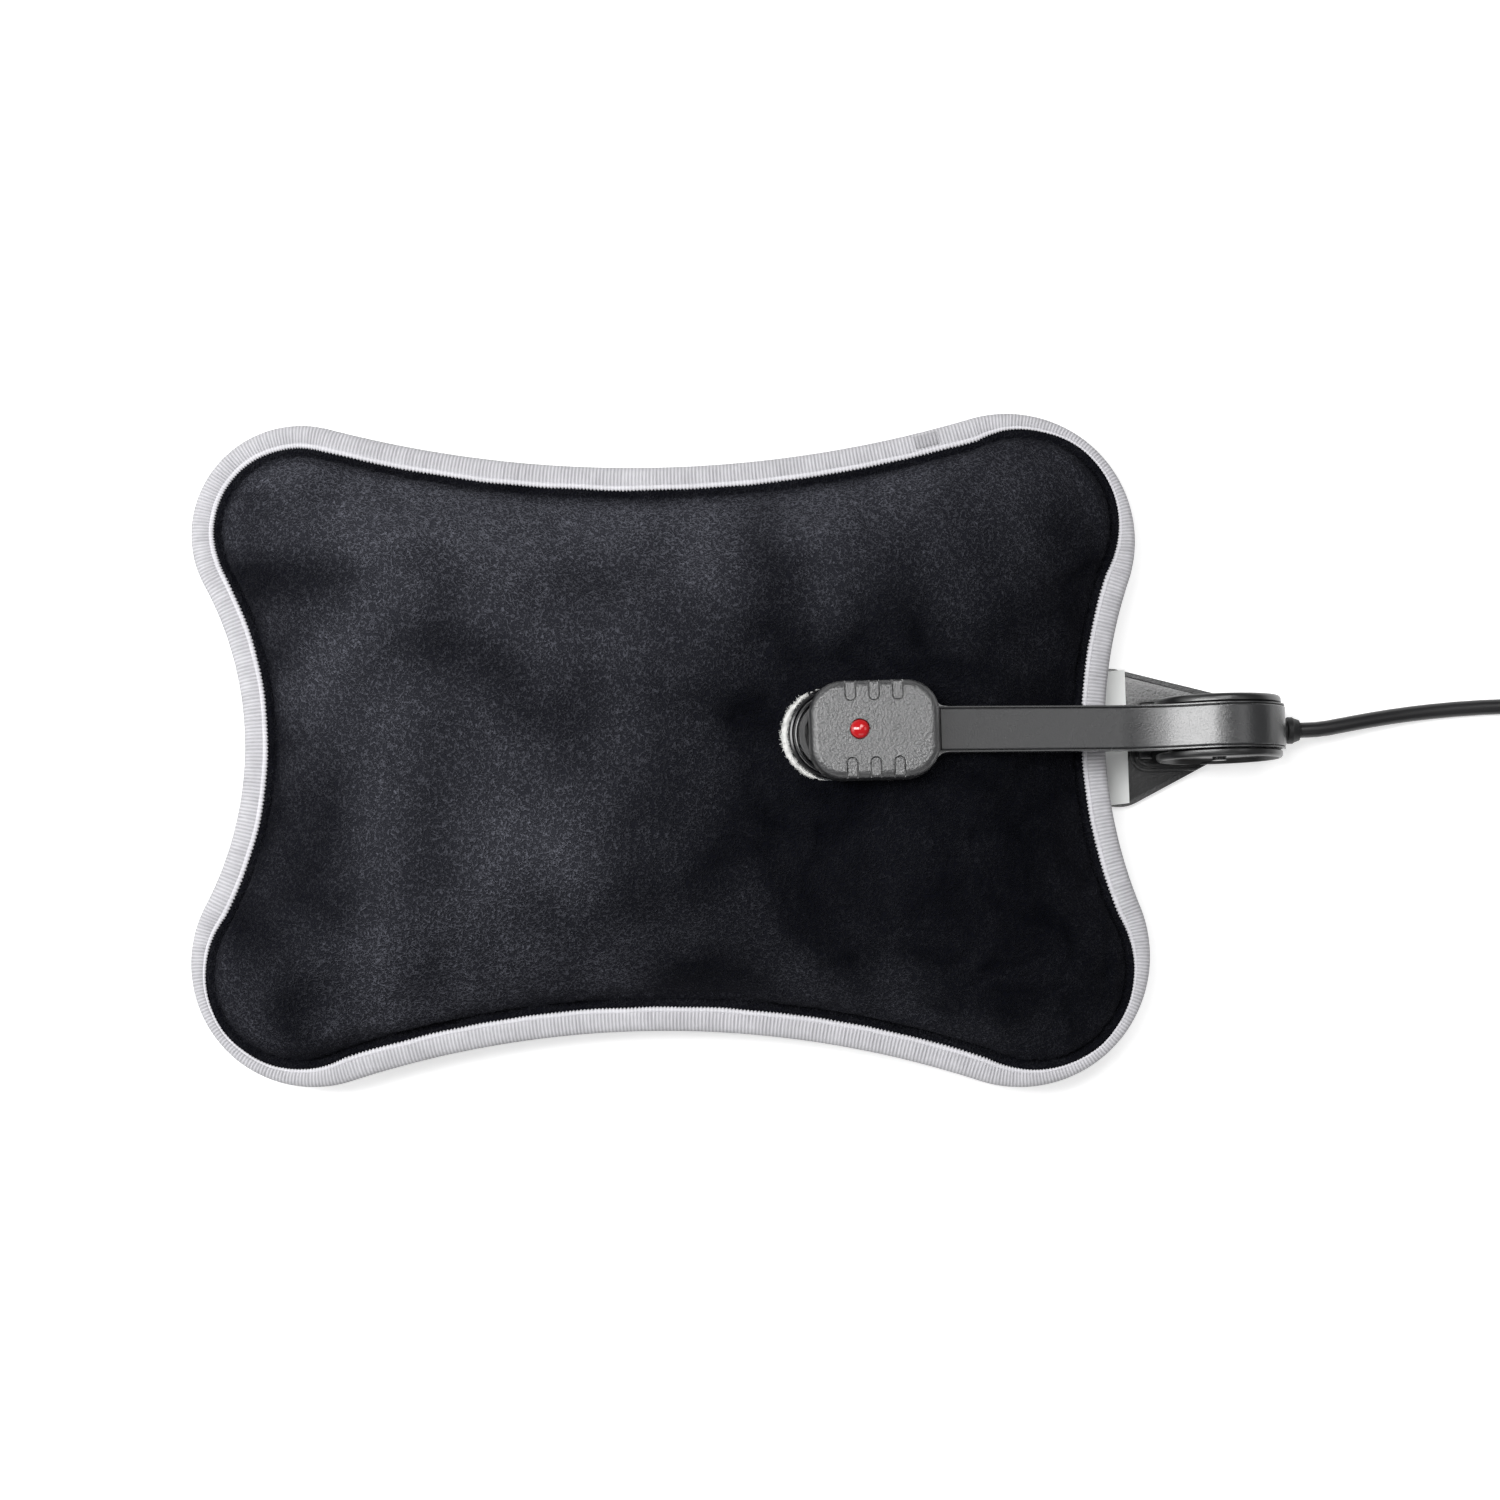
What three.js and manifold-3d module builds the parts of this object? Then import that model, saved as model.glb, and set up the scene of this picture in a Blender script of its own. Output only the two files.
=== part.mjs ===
// Electric hot water bottle with its spring clamp charger.
// A plush covered water bag with a sealed heater and an oval charging port in its top.
// The charger is a clamp: its head sits in the port and its paddle lies under the bag.
// Millimetres, Z up. The origin is on the floor under the middle of the bag.
// X runs along the bag towards the clamp's hinge, and Y across the bag.

import * as THREE from "three";
import { mergeVertices } from "three/addons/utils/BufferGeometryUtils.js";
import Module from "manifold-3d";

const wasm = await Module();
wasm.setup();

// Clearances
const gap = 0.3;
const overrun = 4;
const weld = 0.0001;

// Bag
const bagLength = 271;
const bagWidth = 189;
const bagHeight = 45;
const seamHeight = 16;
const coverThickness = 2.6;
const hemWidth = 2.8;
const hemThickness = 1.8;
const creaseThickness = 1.1;
const linerThickness = 1;
const linerSlack = 0.7;
const sagShare = 1.3;
const domePower = 2.6;
const domeShoulder = 0.62;
const bindingWidth = 6.4;
const bindingHeight = 4.6;

// Charging port in the top of the bag
const portLength = 40.2;
const portWidth = 25.2;
const portSink = 2;
const portFlat = 17.8;
const portFade = 21;
const lipRise = 1.6;
const lipWidth = 2.4;
const lipLandDepth = 0.6;
const openingRimWidth = 2.6;
const openingRimRise = 0.5;
const cupRimDrop = 0.8;
const cupWall = 1.6;
const recessDepth = 10.6;
const cupFloor = 2;
const collarThickness = 1.6;
const collarWidth = 5.2;
const collarSkirt = 9;
const gasketThickness = 1;
const flangeThickness = 1.6;
const flangeWidth = 5;

// Contacts
const pinRadius = 1.5;
const pinHeight = 5.2;
const pinTail = 2.4;
const pinSpacing = 8;
const contactWellRadius = 3.1;
const contactTravel = 2;
const leafRadius = 2.2;
const leafThickness = 0.5;
const leafStem = 1;

// Heater under the port
const cageDepthShare = 0.84;
const cageWall = 1.3;
const cageWindowWidth = 3;
const cageWindowPitch = 5.6;
const elementRadius = 2.2;
const elementSpread = 9;
const elementDropShare = 0.63;
const cutoutRadius = 5.2;
const cutoutHeightShare = 0.62;
const elementBack = 3;
const elementFront = 2.2;

// Hinge
const clampTurn = THREE.MathUtils.degToRad(1.6);
const hingeStandOff = 19.2;
const hingeSide = 6.05;
const discRadius = 17.7;
const discThickness = 2.2;
const discBevel = 0.7;
const drumRadius = 18.6;
const barrelRadius = 14.3;
const barrelWall = 2;
const hingePinRadius = 2;
const eyeRadius = 4.6;
const webThickness = 3.2;
const webFrom = THREE.MathUtils.degToRad(98);
const webTo = THREE.MathUtils.degToRad(150);
const webSlack = THREE.MathUtils.degToRad(3.5);
const webRoot = 1;
const springWire = 0.9;
const springRadius = 6;
const springTurns = 3;
const springSteps = 10;
const openAngle = THREE.MathUtils.degToRad(22);
const bandEndAngle = THREE.MathUtils.degToRad(5);

// Upper jaw
const jawReach = 101.3;
const headShift = 3;
const headLength = 35.3;
const headWidth = 26.6;
const headCorner = 9;
const shellHeight = 6.6;
const headWall = 1.8;
const headFloor = 2;
const shellRound = 1.2;
const coverHeight = 6.6;
const headBevel = 2.1;
const lensRadius = 2.6;
const lensShift = 4.1;
const lensRise = 1.3;
const lampRadius = 1.5;
const gripPitch = 6.4;
const gripWidth = 3.1;
const gripReach = 5.8;
const gripDepth = 0.9;
const gripCount = 3;
const headRoundShares = [[0, 0], [0.5, 0], [0.76, 0.24], [0.93, 0.6], [1, 1]];
const lensRoundShares = [[1, 0.15], [0.82, 0.62], [0.46, 0.92], [0, 1]];
const bossClearance = 2.2;
const bossFoot = 0.9;
const armWidth = 12.6;
const armRim = 0.6;
const armDepth = 4.6;
const armDrop = 1.5;
const armSink = 6.6;
const armBlend = 36;
const armChannelRun = THREE.MathUtils.degToRad(6);
const ductEnd = THREE.MathUtils.degToRad(105);
const stripThickness = 1.6;
const ductWidth = 6;
const ductDepth = 1.2;

// Lower jaw
const plateThickness = 3;
const plateFloor = 1;
const plateTurn = THREE.MathUtils.degToRad(5.6);
const plateShift = 2.4;
const plateNarrow = 10.4;
const plateWide = 20.6;
const plateFan = 26.5;
const plateToe = 30.5;
const plateHeel = 14;
const plateEdge = 1.1;
const plateCorner = 3;
const plateEdgeRise = 0.6;
const paddleThickness = 2.4;
const paddleStart = 23.5;
const paddleReach = 112;
const hollowMiddle = 70;
const hollowHalf = 22;
const liftMargin = 15;
const liftFade = 14;
const platformWidth = 20.8;
const platformFront = 22.9;
const platformBack = 13;
const platformWall = 1.2;
const platformRise = 2.4;
const platformCorner = 5;
const lugLength = 3.6;
const lugWidth = 2.7;
const lugRise = 5;
const lugOut = 17.1;
const lugSide = 4.3;
const footLength = 18;
const footScrewRadius = 2.3;
const rearBlock = 17.6;
const rearWidth = 10.4;

// Cord
const cordDiameter = 4.4;
const cordHeight = 9;
const reliefRadius = 3.85;
const reliefNeck = 2.8;
const reliefStart = 14;
const reliefEnd = 25.1;
const reliefGroove = 1;
const reliefCollar = 2;
const coilLead = 13;
const coilTurns = 6.25;
const coilInner = 18.4;
const coilPitch = 4.95;
const coilStepsPerTurn = 24;
const tailLength = 24;
const floorGap = 0.1;
const plugLength = 36;
const plugWidth = 26;
// Shares of the plug's length, width and thickness from its cord end to its face
const plugShares = [
  [0, 0.36, 0.6],
  [0.1, 0.42, 0.68],
  [0.34, 0.5, 0.82],
  [0.6, 0.8, 0.98],
  [0.78, 0.98, 1],
  [1, 1, 1],
];
const plugRoundShare = 0.42;
const plugPinRadius = 2;
const plugPinLength = 19;
const plugPinSpacing = 18.6;

// Levels and places that follow from the sizes above
const portLevel = bagHeight - portSink;
const portRadius = portWidth / 2;
const portHalf = (portLength - portWidth) / 2;
const lipTop = portLevel + lipRise;
const collarTop = portLevel - coverThickness - gap;
const collarBottom = collarTop - collarThickness;
const flangeTop = collarBottom - gasketThickness - 2 * gap;
const cupRadius = portRadius - lipWidth - gap;
const cupTop = lipTop - cupRimDrop;
const recessRadius = cupRadius - cupWall;
const recessFloor = cupTop - recessDepth;
const cupBottom = recessFloor - cupFloor;
const pinTop = recessFloor + pinHeight;
const hingeHeight = plateThickness + plateEdgeRise + gap + discRadius;
const hingeX = bagLength / 2 + hingeStandOff;
const headX = -jawReach + headShift;
const headBottom = lipTop + gap;
const shellTop = headBottom + shellHeight;
const headTop = shellTop + gap + coverHeight;
const bossRadius = recessRadius - bossClearance;
const bossBottom = recessFloor + bossFoot;
const headEnd = headX + headLength / 2;
const armTop = shellTop - armDrop;
const bandInner = barrelRadius + gap;
const discInside = armWidth / 2 + gap;
const discOutside = discInside + discThickness;
const cordRadius = cordDiameter / 2;
const cordFloor = cordRadius + floorGap;
const coilTop = cordFloor + coilPitch;
const coilOuter = coilInner + (coilPitch * coilTurns) / 2;
const cordExit = reliefEnd + gap;

// Solids

function toSolid(geometry) {
  const bare = geometry.clone();
  bare.deleteAttribute("normal");
  bare.deleteAttribute("uv");
  const merged = mergeVertices(bare, weld);
  const places = merged.attributes.position.array;
  const corners = [];
  let volume = 0;
  const a = new THREE.Vector3();
  const b = new THREE.Vector3();
  const c = new THREE.Vector3();
  for (let i = 0; i < merged.index.count; i += 3) {
    const [p, q, r] = [0, 1, 2].map((k) => merged.index.getX(i + k));
    if (p === q || q === r || r === p) continue;
    corners.push(p, q, r);
    a.fromArray(places, 3 * p);
    b.fromArray(places, 3 * q);
    c.fromArray(places, 3 * r);
    volume += a.dot(b.cross(c));
  }
  if (volume < 0) corners.reverse();
  return new wasm.Manifold(
    new wasm.Mesh({
      numProp: 3,
      vertProperties: new Float32Array(places),
      triVerts: new Uint32Array(corners),
    }),
  );
}

function toGeometry(solid) {
  const mesh = solid.getMesh();
  const geometry = new THREE.BufferGeometry();
  geometry.setAttribute("position", new THREE.BufferAttribute(mesh.vertProperties, 3));
  geometry.setIndex(new THREE.BufferAttribute(mesh.triVerts, 1));
  const faceted = geometry.toNonIndexed();
  faceted.computeVertexNormals();
  return faceted;
}

const join = (first, ...others) => others.reduce((whole, other) => whole.add(other), first);
const cut = (first, ...others) => others.reduce((whole, other) => whole.subtract(other), first);

// A closed skin over rings of points, where a ring of one point is a pole
function skin(rings, endless = false) {
  const places = [];
  const starts = rings.map((ring) => {
    const start = places.length / 3;
    ring.forEach((p) => places.push(p.x, p.y, p.z));
    return start;
  });
  const corners = [];
  const last = endless ? rings.length : rings.length - 1;
  for (let k = 0; k < last; k += 1) {
    const next = (k + 1) % rings.length;
    const count = Math.max(rings[k].length, rings[next].length);
    for (let i = 0; i < count; i += 1) {
      const j = (i + 1) % count;
      const [a, b] = [i, j].map((n) => starts[k] + (n % rings[k].length));
      const [c, d] = [i, j].map((n) => starts[next] + (n % rings[next].length));
      if (a !== b) corners.push(a, b, d);
      if (c !== d) corners.push(a, d, c);
    }
  }
  const geometry = new THREE.BufferGeometry();
  geometry.setAttribute("position", new THREE.Float32BufferAttribute(places, 3));
  geometry.setIndex(corners);
  return toSolid(geometry);
}

function upright(shape, bottom, top, curveSegments = 6) {
  const geometry = new THREE.ExtrudeGeometry(shape, {
    depth: top - bottom,
    bevelEnabled: false,
    curveSegments,
  });
  return toSolid(geometry.translate(0, 0, bottom));
}

// A profile drawn in X and Z, as thick as the given width across Y
function across(shape, width, side = 0) {
  const geometry = new THREE.ExtrudeGeometry(shape, {
    depth: width,
    bevelEnabled: false,
    curveSegments: 6,
  });
  return toSolid(geometry.rotateX(Math.PI / 2).translate(0, side + width / 2, 0));
}

function box(west, east, south, north, bottom, top) {
  const geometry = new THREE.BoxGeometry(east - west, north - south, top - bottom);
  geometry.translate((west + east) / 2, (south + north) / 2, (bottom + top) / 2);
  return toSolid(geometry);
}

function post(radius, bottom, top, x = 0, y = 0, sides = 20) {
  const geometry = new THREE.CylinderGeometry(radius, radius, top - bottom, sides);
  return toSolid(geometry.rotateX(Math.PI / 2).translate(x, y, (bottom + top) / 2));
}

function axle(radius, south, north, x, z, sides = 24) {
  const geometry = new THREE.CylinderGeometry(radius, radius, north - south, sides);
  return toSolid(geometry.translate(x, (south + north) / 2, z));
}

// A profile of radius and height turned about Z
function turned(profile, sides) {
  const points = profile.map(([radius, height]) => new THREE.Vector2(radius, height));
  return new THREE.LatheGeometry(points, sides).rotateX(Math.PI / 2);
}

function stadium(half, radius) {
  const shape = new THREE.Shape();
  shape.absarc(half, 0, radius, -Math.PI / 2, Math.PI / 2, false);
  shape.absarc(-half, 0, radius, Math.PI / 2, Math.PI * 1.5, false);
  shape.closePath();
  return shape;
}

function stadiumRing(half, outer, inner, bottom, top) {
  return cut(
    upright(stadium(half, outer), bottom, top),
    upright(stadium(half, inner), bottom - overrun, top + overrun),
  );
}

function roundedShape(west, east, south, north, radius) {
  const shape = new THREE.Shape();
  shape.absarc(east - radius, north - radius, radius, 0, Math.PI / 2, false);
  shape.absarc(west + radius, north - radius, radius, Math.PI / 2, Math.PI, false);
  shape.absarc(west + radius, south + radius, radius, Math.PI, Math.PI * 1.5, false);
  shape.absarc(east - radius, south + radius, radius, Math.PI * 1.5, Math.PI * 2, false);
  shape.closePath();
  return shape;
}

function roundedRing(length, width, radius, z, steps = 6) {
  const ring = [];
  [0, 1, 2, 3].forEach((quarter) => {
    const signX = quarter === 0 || quarter === 3 ? 1 : -1;
    const signY = quarter < 2 ? 1 : -1;
    for (let step = 0; step <= steps; step += 1) {
      const angle = (Math.PI / 2) * (quarter + step / steps);
      const x = signX * (length / 2 - radius) + radius * Math.cos(angle);
      const y = signY * (width / 2 - radius) + radius * Math.sin(angle);
      ring.push(new THREE.Vector3(x, y, z));
    }
  });
  return ring;
}

function ringSection(radius, sides) {
  const shape = new THREE.Shape();
  for (let i = 0; i < sides; i += 1) {
    const angle = (2 * Math.PI * (i + 0.5)) / sides;
    const [x, y] = [radius * Math.cos(angle), radius * Math.sin(angle)];
    if (i) shape.lineTo(x, y);
    else shape.moveTo(x, y);
  }
  shape.closePath();
  return shape;
}

function tube(path, radius, steps, sides) {
  const section = ringSection(radius, sides);
  return toSolid(new THREE.ExtrudeGeometry(section, { steps, extrudePath: path, bevelEnabled: false }));
}

// Scene graph

const bottle = new THREE.Group();
const bag = new THREE.Group();
const port = new THREE.Group();
const clamp = new THREE.Group();
const lowerJaw = new THREE.Group();
const upperJaw = new THREE.Group();
const cordSet = new THREE.Group();
const plug = new THREE.Group();

const cosTurn = Math.cos(clampTurn);
const sinTurn = Math.sin(clampTurn);
const portX = hingeX - jawReach * cosTurn;
const portY = hingeSide - jawReach * sinTurn;
port.position.set(portX, portY, 0);
port.rotation.z = clampTurn;
clamp.position.set(hingeX, hingeSide, 0);
clamp.rotation.z = clampTurn;
lowerJaw.rotation.z = plateTurn;
bottle.add(bag, port, clamp, cordSet);
clamp.add(lowerJaw, upperJaw);
cordSet.add(plug);

const finishes = {
  plush: { color: 0x17181e, roughness: 0.95 },
  thread: { color: 0xc6c4cb, roughness: 0.9 },
  fluff: { color: 0xe8e8e6, roughness: 1 },
  liner: { color: 0x8d9296, roughness: 0.5 },
  water: { color: 0x9fc4d6, roughness: 0.1 },
  satin: { color: 0x3b3c3f, roughness: 0.45 },
  black: { color: 0x141415, roughness: 0.4 },
  rubber: { color: 0x1b1b1c, roughness: 0.8 },
  pale: { color: 0xd9dbd8, roughness: 0.5 },
  brass: { color: 0xb9975a, roughness: 0.3, metalness: 1 },
  steel: { color: 0xb4b6b8, roughness: 0.35, metalness: 1 },
  ceramic: { color: 0xe3ddd0, roughness: 0.6 },
  red: { color: 0xc3101c, roughness: 0.15 },
  clear: { color: 0xd8d8d0, roughness: 0.2 },
  board: { color: 0x2d5a3a, roughness: 0.6 },
};

function piece(parent, name, solid, finish) {
  const material = new THREE.MeshStandardMaterial(finishes[finish]);
  const mesh = new THREE.Mesh(toGeometry(solid), material);
  mesh.name = name;
  parent.add(mesh);
  return mesh;
}

// Bag outline: four corner rounds joined by four hollow sides, seen from above.
// Along and across are shares of the bag's half length and half width, and radii of its width.
const cornerShares = [
  { along: 0.708, across: 0.64, radius: 0.193, binding: 0.42, side: 1.8 },
  { along: -0.779, across: 0.661, radius: 0.164, binding: 0.97, side: 0.513 },
  { along: -0.738, across: -0.63, radius: 0.185, binding: 0.46, side: 1.508 },
  { along: 0.727, across: -0.608, radius: 0.196, binding: 0.44, side: 0.704 },
];
const roundSteps = 6;
const sideSteps = 6;
const bindingShares = [[0, 0], [0.22, 1], [0.72, 0.9], [1, 0.2], [0.86, -0.8], [0.3, -1]];

function outlineOfBag() {
  const rounds = cornerShares.map((share) => ({
    centre: new THREE.Vector2((share.along * bagLength) / 2, (share.across * bagWidth) / 2),
    radius: share.radius * bagWidth,
    binding: share.binding,
    side: share.side * bagWidth,
  }));
  rounds.forEach((round, k) => {
    const next = rounds[(k + 1) % rounds.length];
    const way = next.centre.clone().sub(round.centre);
    const span = way.length();
    way.normalize();
    const out = new THREE.Vector2(way.y, -way.x);
    const near = round.side + round.radius;
    const far = round.side + next.radius;
    const along = (near * near - far * far + span * span) / (2 * span);
    const away = Math.sqrt(Math.max(near * near - along * along, 0));
    round.hollow = round.centre.clone().addScaledVector(way, along).addScaledVector(out, away);
  });
  const points = [];
  rounds.forEach((round, k) => {
    const before = rounds[(k + rounds.length - 1) % rounds.length].hollow;
    const next = rounds[(k + 1) % rounds.length];
    const from = before.clone().sub(round.centre).angle();
    let sweep = round.hollow.clone().sub(round.centre).angle() - from;
    if (sweep < 0) sweep += 2 * Math.PI;
    for (let step = 0; step < roundSteps; step += 1) {
      const share = step / roundSteps;
      const angle = from + sweep * share;
      const out = new THREE.Vector2(Math.cos(angle), Math.sin(angle));
      const narrowing = (1 - round.binding) * Math.sin(Math.PI * share);
      const place = round.centre.clone().addScaledVector(out, round.radius);
      points.push({ place, out, width: bindingWidth * (1 - narrowing) });
    }
    const start = round.centre.clone().sub(round.hollow).angle();
    let turn = next.centre.clone().sub(round.hollow).angle() - start;
    if (turn > 0) turn -= 2 * Math.PI;
    for (let step = 0; step < sideSteps; step += 1) {
      const angle = start + (turn * step) / sideSteps;
      const out = new THREE.Vector2(-Math.cos(angle), -Math.sin(angle));
      const place = round.hollow.clone().addScaledVector(out, -round.side);
      points.push({ place, out, width: bindingWidth });
    }
  });
  return points;
}

const outline = outlineOfBag();
const edgeInside = (inset) => outline.map(({ place, out, width }) =>
  place.clone().addScaledVector(out, -width - gap - inset),
);
const domeEdge = edgeInside(hemWidth);

// Pillow heights: a dome over the outline, level round the port and lifted over the lower jaw
const domeShare = (share) => (1 - share ** domePower) ** domeShoulder;
const jawX = -Math.cos(clampTurn + plateTurn);
const jawY = -Math.sin(clampTurn + plateTurn);
const paddleTop = plateFloor + gap + paddleThickness;
const jawLift = Math.max(plateThickness + plateEdgeRise, paddleTop) + gap;
const liftFlat = plateWide + liftMargin;
const linerFloor = jawLift + coverThickness + linerSlack + linerThickness + gap;
const cageDepth = (cupBottom - linerFloor) * cageDepthShare;

function fade(distance, flat, width) {
  return 1 - THREE.MathUtils.smoothstep(distance, flat, flat + width);
}

function portShare(x, y) {
  const along = (x - portX) * cosTurn + (y - portY) * sinTurn;
  const side = (y - portY) * cosTurn - (x - portX) * sinTurn;
  const past = Math.max(Math.abs(along) - portHalf, 0);
  return fade(Math.hypot(past, side), portFlat, portFade);
}

function floorUnder(x, y) {
  const along = (x - hingeX) * jawX + (y - hingeSide) * jawY;
  const side = (y - hingeSide) * jawX - (x - hingeX) * jawY;
  const past = Math.max(along - paddleReach + plateWide, 0);
  return jawLift * fade(Math.hypot(past, side), liftFlat, liftFade);
}

function bagRing(share, inset, top, seam = seamHeight, hidden = false) {
  return domeEdge.map((edge) => {
    const reach = share * (1 - inset / edge.length());
    const [x, y] = [edge.x * reach, edge.y * reach];
    const dome = domeShare(share);
    if (top) {
      const round = seam + (bagHeight - seam - inset) * dome;
      const level = hidden ? Math.min(round, portLevel - inset) : portLevel - inset;
      return new THREE.Vector3(x, y, THREE.MathUtils.lerp(round, level, portShare(x, y)));
    }
    const floor = hidden ? jawLift : floorUnder(x, y);
    const sag = seam - (seamHeight * sagShare - inset) * dome;
    return new THREE.Vector3(x, y, share === 1 ? seam : Math.max(floor + inset, sag));
  });
}

function pole(inset, top, floor = 0) {
  return [new THREE.Vector3(0, 0, top ? bagHeight - inset : floor + inset)];
}

const coverShares = [1, 0.97, 0.9, 0.79, 0.65, 0.48, 0.29, 0.1];
const linerShares = [1, 0.92, 0.76, 0.5, 0.12];

// A plush panel: a flat hem held in the trim, a crease along the stitching, and the dome inside it
function coverPanel(top) {
  const way = top ? 1 : -1;
  const seam = seamHeight + (way * gap) / 2;
  const lay = (points, height) => points.map(({ x, y }) => new THREE.Vector3(x, y, height));
  const outside = coverShares.map((share) => bagRing(share, 0, top, seam + way * creaseThickness));
  const inside = coverShares.map((share) => bagRing(share, coverThickness, top, seam));
  const coverEdge = edgeInside(0);
  return skin([
    pole(0, top),
    ...outside.reverse(),
    lay(coverEdge, seam + way * hemThickness),
    lay(coverEdge, seam),
    ...inside,
    pole(coverThickness, top),
  ]);
}

function bagBody(inset) {
  const upper = linerShares.map((share) => bagRing(share, inset, true, seamHeight, true));
  const lower = linerShares.slice(1).map((share) => bagRing(share, inset, false, seamHeight, true));
  return skin([pole(inset, true), ...upper.reverse(), ...lower, pole(inset, false, jawLift)]);
}

// Moves a solid drawn about the port's centre to its place in the bag
function atPort(solid) {
  return solid.rotate([0, 0, THREE.MathUtils.radToDeg(clampTurn)]).translate([portX, portY, 0]);
}

function makeBag() {
  const rimOuter = portRadius + gap + openingRimWidth;
  const opening = upright(stadium(portHalf, rimOuter + gap), seamHeight + gap, bagHeight + overrun);
  const collarOuter = portRadius + collarWidth;
  const relief = upright(stadium(portHalf, collarOuter + gap), seamHeight + gap, collarTop + gap);
  piece(bag, "cover_top", cut(coverPanel(true), atPort(opening), atPort(relief)), "plush");
  piece(bag, "cover_bottom", coverPanel(false), "plush");

  const rim = stadiumRing(
    portHalf,
    rimOuter,
    portRadius + gap,
    collarTop + gap,
    portLevel + openingRimRise,
  );
  piece(bag, "opening_rim", atPort(rim), "fluff");

  const sections = outline.map(({ place, out, width }) =>
    bindingShares.map(([outward, up]) => {
      const spot = place.clone().addScaledVector(out, (outward - 1) * width);
      return new THREE.Vector3(spot.x, spot.y, seamHeight + (up * bindingHeight) / 2);
    }),
  );
  piece(bag, "edge_binding", skin(sections, true), "thread");

  const linerInset = coverThickness + linerSlack;
  const hole = upright(stadium(portHalf, cupRadius + gap), cupBottom, bagHeight);
  const clearing = upright(stadium(portHalf, collarOuter - linerThickness), seamHeight + gap, bagHeight);
  const collar = join(
    stadiumRing(portHalf, collarOuter, cupRadius + gap, collarBottom, collarTop),
    stadiumRing(portHalf, collarOuter, collarOuter - collarThickness, collarTop - collarSkirt, collarTop),
  );
  const shell = cut(bagBody(linerInset), bagBody(linerInset + linerThickness), atPort(clearing));
  piece(bag, "bladder", cut(join(shell, atPort(collar)), atPort(hole)), "liner");

  const room = upright(stadium(portHalf, collarOuter + gap), -overrun, bagHeight + overrun);
  const water = bagBody(linerInset + linerThickness + gap);
  piece(bag, "water_fill", cut(water, atPort(room)), "water");
}

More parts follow.
